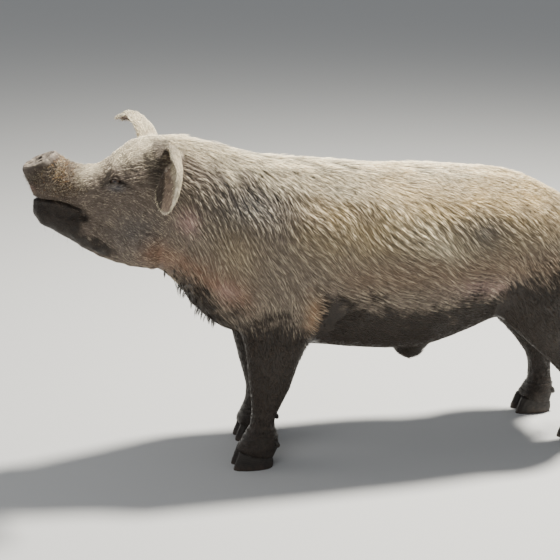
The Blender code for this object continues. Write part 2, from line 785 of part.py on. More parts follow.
def tail():
    """A tapering tube with one loose bend."""
    curve = bpy.data.curves.new("tail", "CURVE")
    curve.dimensions = "3D"
    curve.bevel_depth = 1.0
    curve.bevel_resolution = 2
    curve.use_fill_caps = True
    points = smooth_rows(TAIL, 2)
    spline = curve.splines.new("POLY")
    spline.points.add(len(points) - 1)
    for i, (point, place) in enumerate(zip(spline.points, points)):
        t = i / (len(points) - 1)
        point.co = (*place, 1)
        point.radius = TAIL_ROOT_RADIUS + (TAIL_TIP_RADIUS - TAIL_ROOT_RADIUS) * t**0.8
    guide = add_object("tail_curve", curve)
    graph = bpy.context.evaluated_depsgraph_get()
    mesh = bpy.data.meshes.new_from_object(guide.evaluated_get(graph))
    bpy.data.objects.remove(guide)
    bm = bmesh.new()
    bm.from_mesh(mesh)
    bpy.data.meshes.remove(mesh)
    return add_object("tail", mesh_from(bm, "tail"))


def blade(centres, ups, width, ridge):
    """A flat tapered lock through its centres, three-sided, ending in a point."""
    bm = bmesh.new()
    widths = (0.60, 1.0, 0.85, 0.50)
    rows = []
    for i, wide in enumerate(widths):
        along = centres[i + 1] - centres[i]
        across = along.cross(ups[i]).normalized() * width * wide / 2
        crown = centres[i] + ups[i] * ridge * (0.6 + 0.4 * wide)
        rows.append([bm.verts.new(p) for p in (centres[i] + across, crown, centres[i] - across)])
    tip = bm.verts.new(centres[-1])
    bm.faces.new(rows[0])
    for near, far in zip(rows, rows[1:]):
        for k in range(3):
            bm.faces.new((near[k], near[(k + 1) % 3], far[(k + 1) % 3], far[k]))
    for k in range(3):
        bm.faces.new((rows[-1][k], rows[-1][(k + 1) % 3], tip))
    return add_object("lock", mesh_from(bm))


def coat_lie(normal, draw):
    """The way the coat lies: back, and the more down the further round the flank it is."""
    flank = min(1, abs(normal.y) * 1.3)
    fall = math.radians(6 + 42 * flank + draw.uniform(-16, 16))
    sweep = math.radians(draw.uniform(-14, 14)) * (1 - flank)
    return Vector((math.cos(fall), math.sin(sweep), -math.sin(fall)))


def back_locks(flesh):
    """Overlapping locks down the back, in staggered rows from the nape to the rump."""
    draw = random.Random(LOCK_SEED)
    skin = BVHTree.FromObject(flesh, bpy.context.evaluated_depsgraph_get())
    pace = (LOCK_TO - LOCK_FROM) / (LOCK_ROWS - 1)
    locks = []
    for row in range(LOCK_ROWS):
        for column, degrees in enumerate(LOCK_ANGLES):
            x = LOCK_FROM + pace * (row + 0.5 * (column % 2)) + draw.uniform(-0.010, 0.010)
            angle = math.radians(degrees + draw.uniform(-5, 5))
            out = Vector((0, math.sin(angle), math.cos(angle)))
            start = Vector((x, 0, LOCK_AXIS_HEIGHT)) + out
            place, normal, _, _ = skin.ray_cast(start, -out)
            lie = coat_lie(normal, draw)
            length = LOCK_LENGTH * draw.uniform(0.8, 1.15)
            centres, ups = [], []
            for lift in LOCK_LIFTS:
                centres.append(place + normal * lift)
                ups.append(normal.copy())
                lie = (lie - normal * lie.dot(normal)).normalized()
                place, normal, _, _ = skin.find_nearest(place + lie * length / 4)
            locks.append(blade(centres, ups, LOCK_WIDTH * draw.uniform(0.85, 1.15), LOCK_RIDGE))
    return locks


def switch_locks():
    """The bristles that hang from the tail's tip."""
    tip, before = Vector(TAIL[-1]), Vector(TAIL[-2])
    along = (tip - before).normalized()
    locks = []
    for i in range(SWITCH_LOCKS):
        turn = 2 * math.pi * i / SWITCH_LOCKS
        out = (Vector((math.cos(turn), math.sin(turn), 0)) - along * 0.2).normalized()
        centres, ups = [], []
        for k in range(5):
            t = k / 4
            spread = TAIL_TIP_RADIUS * (0.3 + 0.9 * math.sin(math.pi * min(1, 0.2 + 0.7 * t)))
            centres.append(tip - along * 0.012 + along * SWITCH_LENGTH * t + out * spread)
            ups.append(out)
        locks.append(blade(centres, ups, SWITCH_WIDTH, SWITCH_RIDGE))
    return locks


def part_flesh(flesh):
    """Parts the flesh into its nodes."""
    head = take(flesh, front_space(*HEAD_BACK), "head")
    jaw = take(head, jaw_space(), "lower_jaw")
    neck = take(flesh, front_space(*NECK_BACK), "neck")
    nodes = [head, jaw, neck]
    for side, which in ((-1, "left"), (1, "right")):
        nodes.append(take(flesh, leg_space(FORE_LEG_SPACE, side), f"leg_fore_{which}"))
        nodes.append(take(flesh, leg_space(HIND_LEG_SPACE, side), f"leg_hind_{which}"))
    flesh.name = "torso"
    return nodes + [flesh]


def centre_on_floor(nodes):
    """Slides the pig until the middle of its footprint is the origin and its soles are at 0."""
    corners = np.array([v.co for obj in nodes for v in obj.data.vertices])
    low, high = corners.min(axis=0), corners.max(axis=0)
    slide = Vector((-(low[0] + high[0]) / 2, -(low[1] + high[1]) / 2, -low[2]))
    for obj in nodes:
        obj.data.transform(Matrix.Translation(slide))
    print("slide", tuple(round(c, 5) for c in slide))


def finish(obj, spec, group):
    obj.data.materials.clear()
    obj.data.materials.append(material(spec))
    obj.data.name = obj.name
    obj.data.shade_smooth()
    obj.data.set_sharp_from_angle(angle=math.radians(50))
    for holder in list(obj.users_collection):
        holder.objects.unlink(obj)
    group.objects.link(obj)


def main():
    clear_scene()
    flesh = fused_flesh()
    thin_out(flesh)
    cut_mouth(flesh)
    cut_nostrils(flesh)
    cut_soles(flesh)
    claws = make_claws(flesh)
    eyes = []
    for side, name in ((-1, "eye_left"), (1, "eye_right")):
        open_lids(flesh, side)
        eyes.append(eyeball(side, name))
    seat(flesh, eyes)
    ears = [
        ear("ear_left", LEFT_EAR, LEFT_EAR_OPENS, LEFT_EAR_HALF_WIDTHS, LEFT_EAR_CUP),
        ear("ear_right", RIGHT_EAR, RIGHT_EAR_OPENS, RIGHT_EAR_HALF_WIDTHS, RIGHT_EAR_CUP),
    ]
    tail_node = tail()
    for grafted in [*ears, tail_node]:
        combine(grafted, [grown(flesh, GRAFT_GAP)], "DIFFERENCE")
    combine(tail_node, switch_locks(), "UNION")
    combine(flesh, back_locks(flesh), "UNION")
    nodes = part_flesh(flesh) + ears + [tail_node]
    group = collection("domestic_pig")
    for obj in nodes:
        finish(obj, MUDDY_HIDE if obj.name.startswith("leg") else HIDE, group)
    for obj in claws:
        finish(obj, HORN, group)
    for obj in eyes:
        finish(obj, EYE, group)
    centre_on_floor(nodes + claws + eyes)


main()
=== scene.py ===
"""The looks of a domestic pig: one continuous skin, its bristle coat, eyes and hooves.

The pig faces -X and stands on the floor at z = 0; its left side, towards the camera, is -Y.
Places on the animal are given from the point on the floor midway between its fore feet
when it stands square, and fore(...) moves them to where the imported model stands.
All lengths are in metres.
"""

import math

import bmesh
import bpy
import numpy as np
from mathutils import Matrix, Vector
from mathutils.bvhtree import BVHTree


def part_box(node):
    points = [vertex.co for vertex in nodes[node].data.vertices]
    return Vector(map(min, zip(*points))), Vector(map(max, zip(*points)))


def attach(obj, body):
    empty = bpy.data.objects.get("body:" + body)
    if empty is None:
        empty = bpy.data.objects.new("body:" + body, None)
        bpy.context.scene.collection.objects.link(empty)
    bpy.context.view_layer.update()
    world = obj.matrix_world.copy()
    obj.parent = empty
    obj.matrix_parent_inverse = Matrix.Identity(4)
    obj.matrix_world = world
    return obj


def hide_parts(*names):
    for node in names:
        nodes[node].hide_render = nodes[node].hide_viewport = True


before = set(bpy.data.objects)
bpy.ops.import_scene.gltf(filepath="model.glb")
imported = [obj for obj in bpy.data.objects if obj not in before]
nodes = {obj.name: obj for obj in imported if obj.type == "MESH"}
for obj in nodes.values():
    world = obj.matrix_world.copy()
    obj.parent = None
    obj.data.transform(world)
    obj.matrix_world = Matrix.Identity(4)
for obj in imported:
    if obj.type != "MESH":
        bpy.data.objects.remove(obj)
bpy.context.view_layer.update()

# The point midway between the fore feet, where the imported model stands
FORE = Vector((-0.24666, 0.01524, 0.0))
FORE_POINT = np.array(FORE)
SIDES = ((-1, "left"), (1, "right"))
FLESH = [
    "head", "lower_jaw", "neck", "torso", "tail", "ear_left", "ear_right",
    "leg_fore_left", "leg_fore_right", "leg_hind_left", "leg_hind_right",
]

# Camera, looking down and round by these degrees, floor and sky
CAMERA_PLACE = (-0.616, -3.369, 1.60)
CAMERA_LENS = 80.36
CAMERA_DOWN = 17.3
CAMERA_ROUND = -12
FLOOR_GREY = (0.50, 0.50, 0.49)
SKY_GREY = (0.80, 0.83, 0.87)

# Heights over which the legs run into the trunk, and places over which the face begins
LEG_TOP = (0.42, 0.30)
FACE_EDGE = (-0.20, -0.27)

# Skin. The flesh is grown a little before it is fused, which closes the gaps between its nodes.
SKIN_GRAIN = 0.0037
GROWN = 0.0010
BODY_FACES_KEPT = 0.25
EYE_CENTRE = Vector((-0.366, 0.081, 0.858))
EYE_AIM = Vector((-0.30, 0.94, 0.12)).normalized()
EYE_RADIUS = 0.0125
EYE_HALF_LONG = 0.0140
EYE_HALF_HIGH = 0.0043
EYE_PLUG_RADII = (0.0235, 0.0170, 0.0185)
EYE_GAP = 0.0003
LID_THICKNESS = 0.0022
DISC_CENTRE = Vector((-0.563, 0.0, 0.909))
DISC_AIM = Vector((-0.388, 0.0, 0.922)).normalized()
DISC_RADIUS = 0.050
NOSTRIL_SPREAD = 0.019
NOSTRIL_RADII = (0.0078, 0.0118)
NOSTRIL_DEPTH = 0.016
NOSTRIL_TILT = math.radians(20)
MOUTH = ((-0.660, 0.812), (-0.575, 0.806), (-0.536, 0.804), (-0.499, 0.796), (-0.462, 0.778))
MOUTH_DEPTH = 0.0125
MOUTH_HALF_WIDTHS = (0.024, 0.036, 0.043, 0.046)
MOUTH_HALF_HIGH = 0.012
CORNEA_REACH = 0.0070
CORNEA_RADIUS = 0.0104
IRIS_EDGE = (0.0074, 0.0060)
IRIS_RAYS = 23
PUPIL_RADII = (0.0034, 0.0026)
MUZZLE_WRINKLE = 0.0105
FETLOCK_WRINKLE = 0.013
EAR_REACH = 0.008
TAIL_REACH = 0.012
CLAW_GRAIN = 0.0017
CLAW_RING = 0.0062
CRUST_SEED = 5
CHIPS = 620
STRAWS = 330

# From each corner of the eye, as (x, z) in the side view
EYE_CREASES = (
    ((-0.380, 0.858), (-0.392, 0.854), (-0.403, 0.847)),
    ((-0.353, 0.858), (-0.342, 0.853), (-0.332, 0.845)),
)
# On cheek, jowl, neck, elbow and flank, as (x, z) in the side view, half width and depth
CREASES = (
    (((-0.405, 0.862), (-0.425, 0.842), (-0.452, 0.826)), 0.0050, 0.0024),
    (((-0.335, 0.852), (-0.312, 0.838), (-0.296, 0.812)), 0.0055, 0.0022),
    (((-0.400, 0.838), (-0.372, 0.828), (-0.345, 0.830)), 0.0045, 0.0022),
    (((-0.408, 0.884), (-0.378, 0.896), (-0.345, 0.897)), 0.0050, 0.0022),
    (((-0.462, 0.778), (-0.448, 0.757), (-0.446, 0.738)), 0.0060, 0.0034),
    (((-0.440, 0.690), (-0.380, 0.668), (-0.318, 0.672)), 0.0110, 0.0030),
    (((-0.262, 0.640), (-0.248, 0.700), (-0.226, 0.760)), 0.0130, 0.0042),
    (((-0.225, 0.600), (-0.204, 0.670), (-0.178, 0.740)), 0.0150, 0.0040),
    (((0.176, 0.560), (0.186, 0.490), (0.180, 0.410)), 0.0160, 0.0085),
    (((0.150, 0.540), (0.156, 0.480), (0.146, 0.425)), 0.0170, -0.0070),
    (((0.680, 0.470), (0.715, 0.430), (0.760, 0.400)), 0.0180, 0.0070),
    (((0.640, 0.500), (0.690, 0.560), (0.715, 0.640)), 0.0220, 0.0040),
)

# Coat
COAT_SEED = 23
TUFTS = 144000
TUFTS_IN_PIECE = 19000
TUFT_PATCH = 0.0028
UNWRAP_FACES_KEPT = 0.06
LOCK_SPACING = 0.0052
LOCK_SEED = 61
LOCK_WAVES = 40
LOCK_STEP = 0.0060
LOCK_ASIDE = 0.0012
WHISKERS = 150
MUZZLE_BRISTLES = 1500
LASHES = 15
EAR_FRINGE = 3400
CLOTTED_LOCKS = 60
HAIRS_IN_LOCK = 12
CLOT_WIDTH = 0.0011
HAIR_LIFT = 0.10
LASH_LENGTH = 0.0085
LASH_WIDTH = 0.0007
LASH_LIFT = 0.2
TUFT_ROOT_DEPTH = 0.0012
# The coat is shaggy along this line from the shoulder down to the flank, in the side view
SHAGGY_LINE = ((-0.04, 0.865), (0.22, 0.815), (0.52, 0.690))
SHAGGY_REACH = 0.075


def srgb(r, g, b):
    """A colour as the eye reads it, 0 to 255, as linear light."""
    scale = [c / 255 for c in (r, g, b)]
    return tuple(c / 12.92 if c <= 0.04045 else ((c + 0.055) / 1.055) ** 2.4 for c in scale)


CREAM = srgb(254, 241, 208)
STRAW = srgb(208, 184, 138)
HAY = srgb(246, 218, 160)
WHITISH = srgb(255, 250, 232)
GREY_BROWN = srgb(140, 127, 113)
GREY = srgb(122, 119, 117)
SLATE = srgb(98, 96, 95)
FACE_GREY = srgb(122, 109, 98)
PINK = srgb(236, 196, 188)
FLUSH = srgb(158, 118, 94)
TAN = srgb(172, 134, 98)
# Mud colours, also used for painted shade in hollows, creases and nostrils, along the mouth and at the
# near ear's root
MUD_AND_SHADE = srgb(63, 52, 43)
BLACK_MUD_AND_SHADE = srgb(37, 32, 27)
CRUST = srgb(116, 90, 66)
# Also painted shade under the disc
CRUST_BASE_AND_SHADE = srgb(74, 60, 48)
DISC_GREY = srgb(170, 160, 148)
LIP_RED = srgb(138, 88, 78)
BRISTLE = srgb(206, 190, 162)
# The near ear's flap: its brown, painted lighter as the sunlight that it takes
SUNLIT_FLAP = srgb(186, 164, 143)
EYE_BROWN = srgb(46, 30, 20)
EYE_WHITE = srgb(70, 54, 46)
BAG_GREY = srgb(112, 112, 116)
CHIP_COLOURS = [
    srgb(160, 134, 100), srgb(124, 94, 64), srgb(62, 50, 40), srgb(196, 180, 148), srgb(104, 80, 56),
]
CHIP_SHARES = (0.20, 0.10, 0.38, 0.06, 0.26)
STRAW_COLOURS = [srgb(192, 164, 118), srgb(158, 124, 84), srgb(112, 86, 62), srgb(206, 188, 154)]
STRAW_SHARES = (0.30, 0.28, 0.27, 0.15)
# In linear light
# The ears' rims: pale hair, painted whiter as the sunlight through it
EAR_FUZZ_AND_BACKLIGHT = (0.96, 0.92, 0.84)
PUPIL_BLACK = (0.002, 0.002, 0.002)
UNDER_COAT_SHADE = (0.44, 0.41, 0.39)


def fore(x, y, z):
    return FORE + Vector((x, y, z))


def mirrored(vector, side):
    return Vector((vector.x, side * vector.y, vector.z))


def step(low, high, values):
    """0 below low and 1 above high, smooth between. It runs down where low is over high."""
    t = np.clip((values - low) / (high - low), 0, 1)
    return t * t * (3 - 2 * t)


def hump(away, reach):
    """1 where away is 0, falling off smoothly over this reach."""
    return np.exp(-((away / reach) ** 2))


def bump_at(points, centre, radii):
    """1 at a centre, falling off smoothly over the radii."""
    away = (points - np.array(centre)) / np.array(radii)
    return np.exp(-(away**2).sum(axis=1))


def unit(rows):
    return rows / np.maximum(np.linalg.norm(rows, axis=1), 1e-6)[:, None]


def laid(ways, normals):
    """The part of each way that runs along the surface, as a direction."""
    return unit(ways - normals * (ways * normals).sum(axis=1)[:, None])


def folded(points):
    """The left side laid over the right, for marks that both sides share."""
    return np.column_stack([points[:, 0], np.abs(points[:, 1]), points[:, 2]])


def ripple(points, size, seed, waves=10):
    """Smooth noise of about -1 to 1: waves of about this length in random directions."""
    draw = np.random.default_rng(seed)
    total = np.zeros(len(points))
    for _ in range(waves):
        way = draw.normal(size=3)
        way *= 2 * math.pi / (size * draw.uniform(0.7, 1.6) * np.linalg.norm(way))
        total += np.sin(points @ way + draw.uniform(0, 2 * math.pi))
    return total / math.sqrt(waves)


def nearest_on_line(points, line):
    """Of the place on a polyline nearest to each point: distance, share of the line, way, place."""
    line = np.array(line)
    best = np.full(len(points), np.inf)
    along = np.zeros(len(points))
    ways, places = np.zeros(points.shape), np.zeros(points.shape)
    for i, (a, b) in enumerate(zip(line, line[1:])):
        way = b - a
        t = np.clip((points - a) @ way / (way @ way), 0, 1)
        place = a + t[:, None] * way
        distance = np.linalg.norm(points - place, axis=1)
        nearer = distance < best
        best[nearer] = distance[nearer]
        along[nearer] = (i + t[nearer]) / (len(line) - 1)
        ways[nearer] = way / np.linalg.norm(way)
        places[nearer] = place[nearer]
    return best, along, ways, places


def side_distance(points, line):
    """Distance in the side view from a polyline of (x, z), and how far along it, 0 to 1."""
    return nearest_on_line(points[:, [0, 2]], line)[:2]


# Arrays of a mesh
def read_rows(items, key, width, kind=np.float32):
    values = np.empty(len(items) * width, kind)
    items.foreach_get(key, values)
    return values.reshape(-1, width)


def vertex_array(mesh):
    return read_rows(mesh.vertices, "co", 3).astype(float)


def normal_array(mesh):
    return read_rows(mesh.vertex_normals, "vector", 3).astype(float)


def from_fore(mesh):
    """Vertices measured from the point between the fore feet."""
    return vertex_array(mesh) - FORE_POINT


def set_vertices(mesh, points):
    mesh.vertices.foreach_set("co", points.astype(np.float32).ravel())
    mesh.update()


def add_values(mesh, name, values):
    """A value or a colour at each vertex."""
    kind = "FLOAT" if values.ndim == 1 else "FLOAT_COLOR"
    attribute = mesh.attributes.new(name, kind, "POINT")
    if values.ndim == 1:
        attribute.data.foreach_set("value", values.astype(np.float32))
    else:
        full = np.ones((len(values), 4), np.float32)
        full[:, :3] = values
        attribute.data.foreach_set("color", full.ravel())


def edges_of(mesh):
    return read_rows(mesh.edges, "vertices", 2, np.int64)


def triangles_of(mesh, key="vertices"):
    mesh.calc_loop_triangles()
    return read_rows(mesh.loop_triangles, key, 3, np.int64)


def all_of(colour, count):
    return np.tile(np.array(colour), (count, 1))


def relax(points, edges, rounds, weight):
    """Moves each point towards the middle of its neighbours."""
    a, b = edges.T
    count = np.bincount(a, minlength=len(points)) + np.bincount(b, minlength=len(points))
    count = np.maximum(count, 1)
    points = points.copy()
    for _ in range(rounds):
        for axis in range(3):
            line = points[:, axis]
            total = np.bincount(a, line[b], len(line)) + np.bincount(b, line[a], len(line))
            points[:, axis] = line + (total / count - line) * weight
    return points


def smooth(mesh, rounds, weight):
    """Relaxes a mesh, and gives its vertices as they are then."""
    points = relax(vertex_array(mesh), edges_of(mesh), rounds, weight)
    set_vertices(mesh, points)
    return points


# Objects
def add_object(name, data):
    obj = bpy.data.objects.new(name, data)
    bpy.context.scene.collection.objects.link(obj)
    return obj


def object_from(name, bm):
    mesh = bpy.data.meshes.new(name)
    bm.to_mesh(mesh)
    bm.free()
    return add_object(name, mesh)


def bake_modifiers(obj):
    graph = bpy.context.evaluated_depsgraph_get()
    old = obj.data
    mesh = bpy.data.meshes.new_from_object(obj.evaluated_get(graph))
    obj.modifiers.clear()
    obj.data = mesh
    bpy.data.meshes.remove(old)


def fuse(obj, grain):
    """Makes it one closed surface of this grain."""
    remesh = obj.modifiers.new("fuse", "REMESH")
    remesh.mode = "VOXEL"
    remesh.voxel_size = grain
    bake_modifiers(obj)


def thin(obj, share, group=""):
    """Leaves this share of the faces, all over or in a vertex group."""
    thinner = obj.modifiers.new("thin", "DECIMATE")
    thinner.ratio = share
    thinner.vertex_group = group
    bake_modifiers(obj)


def change(mesh, how, *details):
    """Changes a mesh by how(bm, *details)."""
    bm = bmesh.new()
    bm.from_mesh(mesh)
    how(bm, *details)
    bm.to_mesh(mesh)
    bm.free()


def node_bmesh(name):
    """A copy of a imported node, its loose triangles merged."""
    bm = bmesh.new()
    bm.from_mesh(nodes[name].data)
    bmesh.ops.remove_doubles(bm, verts=bm.verts, dist=1e-6)
    return bm


def aimed(aim, up=Vector((0, 0, 1))):
    z = aim.normalized()
    x = up.cross(z).normalized()
    return Matrix((x, z.cross(x), z)).transposed().to_4x4()


# Camera, floor and light
def place_camera():
    data = bpy.data.cameras.new("camera")
    data.sensor_width = 36
    data.lens = CAMERA_LENS
    obj = add_object("camera", data)
    obj.location = fore(*CAMERA_PLACE)
    obj.rotation_euler = (math.radians(90 - CAMERA_DOWN), 0, math.radians(CAMERA_ROUND))
    bpy.context.scene.camera = obj


def lay_floor():
    bm = bmesh.new()
    bmesh.ops.create_grid(bm, x_segments=1, y_segments=1, size=60)
    floor = object_from("floor", bm)
    made, tree, shader = new_material("pale_floor")
    feed(tree, shader, {"Base Color": FLOOR_GREY, "Roughness": 0.9})
    floor.data.materials.append(made)


def add_light(name, place, target, size, power, colour, mirrored_in=True):
    """A round light. Where mirrored_in is false, no wet surface shows its shape."""
    data = bpy.data.lights.new(name, "AREA")
    data.shape = "DISK"
    data.size = size
    data.energy = power
    data.color = colour
    obj = add_object(name, data)
    obj.location = place
    obj.rotation_euler = (Vector(target) - Vector(place)).to_track_quat("-Z", "Y").to_euler()
    obj.visible_glossy = mirrored_in


def set_lights():
    middle = (0, 0, 0.6)
    add_light("key", (1.7, 0.6, 4.5), middle, 0.6, 850, (1.0, 0.965, 0.885))
    add_light("fill", (-2.4, -3.4, 2.6), middle, 3.2, 50, (0.94, 0.965, 1.0), False)
    add_light("front", (-3.6, 0.8, 2.0), middle, 2.4, 26, (1.0, 0.98, 0.95))
    world = bpy.data.worlds.new("studio")
    bpy.context.scene.world = world
    world.use_nodes = True
    tree = world.node_tree
    feed(tree, tree.nodes["Background"], {"Color": SKY_GREY, "Strength": 0.46})


# Skin
def grow(bm, by):
    bm.normal_update()
    places = [v.co + v.normal * by * min(v.calc_shell_factor(), 2) for v in bm.verts]
    for vertex, place in zip(bm.verts, places):
        vertex.co = place


def eye_plug(side):
    """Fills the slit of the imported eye, so that the lids can be modelled afresh."""
    bm = bmesh.new()
    bmesh.ops.create_uvsphere(bm, u_segments=24, v_segments=12, radius=1)
    bm.transform(Matrix.Diagonal((*EYE_PLUG_RADII, 1)))
    aim = mirrored(EYE_AIM, side)
    bm.transform(aimed(aim))
    bm.transform(Matrix.Translation(fore(*mirrored(EYE_CENTRE, side)) - aim * 0.0015))
    return bm


def mouth_plug():
    """Fills the gap between the jaws behind the lips."""
    bm = bmesh.new()
    rings = []
    up = MOUTH_HALF_HIGH
    for (x, z), half in zip(MOUTH[1:], MOUTH_HALF_WIDTHS):
        corners = [(-half, -up), (half, -up), (half, up), (-half, up)]
        rings.append([bm.verts.new(fore(x + 0.012, y, z + dz)) for y, dz in corners])
    for near, far in zip(rings, rings[1:]):
        for i in range(4):
            bm.faces.new((near[i], near[(i + 1) % 4], far[(i + 1) % 4], far[i]))
    bm.faces.new(rings[0])
    bm.faces.new(rings[-1])
    bmesh.ops.recalc_face_normals(bm, faces=bm.faces)
    return bm


def fused_flesh():
    """All the flesh nodes as one closed surface."""
    pieces = [mouth_plug()] + [eye_plug(side) for side, _ in SIDES]
    for name in FLESH:
        bm = node_bmesh(name)
        grow(bm, GROWN)
        pieces.append(bm)
    whole = bmesh.new()
    for piece in pieces:
        mesh = bpy.data.meshes.new("piece")
        piece.to_mesh(mesh)
        piece.free()
        whole.from_mesh(mesh)
        bpy.data.meshes.remove(mesh)
    skin = object_from("skin", whole)
    fuse(skin, SKIN_GRAIN)
    return skin


def keep_largest(bm):
    left = set(bm.faces)
    found = []
    while left:
        stack = [left.pop()]
        island = []
        while stack:
            face = stack.pop()
            island.append(face)
            for edge in face.edges:
                for other in edge.link_faces:
                    if other in left:
                        left.remove(other)
                        stack.append(other)
        found.append(island)
    found.sort(key=len)
    for island in found[:-1]:
        bmesh.ops.delete(bm, geom=island, context="FACES")


def thin_body(skin):
    """Fewer faces behind the ears, and the head left as fine as it is."""
    here = from_fore(skin.data)
    body = step(-0.21, -0.15, here[:, 0]) * step(0.07, 0.12, here[:, 2])
    group = skin.vertex_groups.new(name="body")
    for level in range(1, 11):
        chosen = np.nonzero((body > (level - 1) / 10) & (body <= level / 10))[0]
        group.add(chosen.tolist(), level / 10, "REPLACE")
    thin(skin, BODY_FACES_KEPT, "body")


def refine(bm, wanted):
    """Finer faces wherever wanted(points) is true."""
    centres = np.array([e.verts[0].co + e.verts[1].co for e in bm.edges]) / 2 - FORE_POINT
    edges = [e for e, take in zip(bm.edges, wanted(centres)) if take]
    bmesh.ops.subdivide_edges(bm, edges=edges, cuts=1, use_grid_fill=True)
    bmesh.ops.triangulate(bm, faces=[f for f in bm.faces if len(f.verts) > 4])


def near_disc(points):
    return (points[:, 0] < -0.49) & (points[:, 2] > 0.852)


def near_mouth(points):
    distance, _ = side_distance(points, MOUTH)
    return (distance < 0.014) & (points[:, 0] < -0.452)


def near_eyes(points, reach):
    return np.linalg.norm(folded(points) - np.array(EYE_CENTRE), axis=1) < reach


def near_features(points):
    return near_disc(points) | near_mouth(points) | near_eyes(points, 0.036)


def eye_turn(side):
    return np.array(aimed(mirrored(EYE_AIM, side)).to_3x3())


def eye_frame(points, side):
    """Places in the eye's own axes: along the slit, up, and out of the head."""
    return (points - np.array(mirrored(EYE_CENTRE, side))) @ eye_turn(side)


def from_eye(local, side):
    """Places in the eye's own axes back in the animal's."""
    return local @ eye_turn(side).T + np.array(mirrored(EYE_CENTRE, side))


def ball_height(radius, radial):
    """How far out an eyeball stands at these distances from its axis."""
    return np.sqrt(np.clip(radius**2 - radial**2, (0.25 * EYE_RADIUS) ** 2, None))


def slit_shape(u):
    """The middle line and half height of the parted lids at a place along them."""
    t = np.clip(np.abs(u) / EYE_HALF_LONG, 0, 1)
    middle = 0.0042 * (1 - t**1.4) - 0.0012
    return middle, EYE_HALF_HIGH * np.sqrt(np.clip(1 - t**1.7, 0, 1))


def slit_distance(u, v):
    """Distance from the edge of the parted lids, under 0 between them."""
    middle, half = slit_shape(u)
    past = np.abs(u) - EYE_HALF_LONG
    return np.where(past > 0, np.hypot(past, v - middle), np.abs(v - middle) - half)


def shape_lids(points, side):
    """Opens the slit over the eyeball and lays the rounded lids on it."""
    u, v, w = eye_frame(points, side).T
    away = slit_distance(u, v)
    radial = np.hypot(u, v)
    ball = ball_height(EYE_RADIUS + EYE_GAP, radial)
    lid = ball + LID_THICKNESS
    reach = w > -0.004
    inside = step(0.0005, -0.0007, away) * reach * (radial < 0.03)
    rim = step(0.0130, 0.0010, away) * (1 - inside) * reach * (radial < 0.034)
    edge = hump(away - 0.0016, 0.0016)
    upper = v > slit_shape(u)[0]
    fold_line = np.where(upper, 0.0072, 0.0090)
    fold = hump(away - fold_line, 0.0016) * 0.0022
    bag = hump(away - 0.0052, 0.0030) * np.where(upper, 0.0008, 0.0018)
    target = lid + edge * 0.0006 - fold + bag
    w = w + (target - w) * rim
    w = w + (ball - 0.0060 - w) * inside
    moved = from_eye(np.column_stack([u, v, w]), side)
    touched = (inside + rim) > 1e-4
    return np.where(touched[:, None], moved, points)


DISC_TURN = np.array(aimed(DISC_AIM, Vector((1, 0, 0))).to_3x3())


def disc_frame(points):
    """Places in the disc's own axes: across, up its face, and out of the snout."""
    return (points - np.array(DISC_CENTRE)) @ DISC_TURN


def shape_disc(points):
    """Flattens the snout's disc, raises its rim and sinks the nostrils."""
    across, up, out = disc_frame(points).T
    radial = np.hypot(across, up)
    on_face = step(-0.018, -0.008, out)
    flat = step(DISC_RADIUS * 1.02, DISC_RADIUS * 0.78, radial) * on_face
    dish = -0.0030 + 0.0040 * (radial / DISC_RADIUS) ** 2 + 0.0006 * ripple(points, 0.016, 10)
    out = out + (dish - out) * flat * 0.9
    rim = hump(radial - DISC_RADIUS * 0.97, 0.0065) * step(-0.02, -0.006, out)
    out = out + 0.0034 * rim * (1 + 0.25 * ripple(points, 0.030, 11))
    groove = hump(across, 0.0035) * flat * step(-0.03, 0.02, up)
    out = out - 0.0020 * groove
    for side, _ in SIDES:
        turned = across * side - NOSTRIL_SPREAD
        a = turned * math.cos(NOSTRIL_TILT) + up * math.sin(NOSTRIL_TILT)
        b = -turned * math.sin(NOSTRIL_TILT) + up * math.cos(NOSTRIL_TILT)
        hole = np.sqrt((b / NOSTRIL_RADII[0]) ** 2 + (a / NOSTRIL_RADII[1]) ** 2)
        out = out - NOSTRIL_DEPTH * step(1.0, 0.62, hole) * on_face
        out = out + 0.0016 * hump(hole - 1.25, 0.22) * on_face
    moved = np.column_stack([across, up, out]) @ DISC_TURN.T + np.array(DISC_CENTRE)
    chosen = (radial < DISC_RADIUS * 1.35) & (points[:, 0] < -0.48) & (points[:, 2] > 0.84)
    return np.where(chosen[:, None], moved, points)


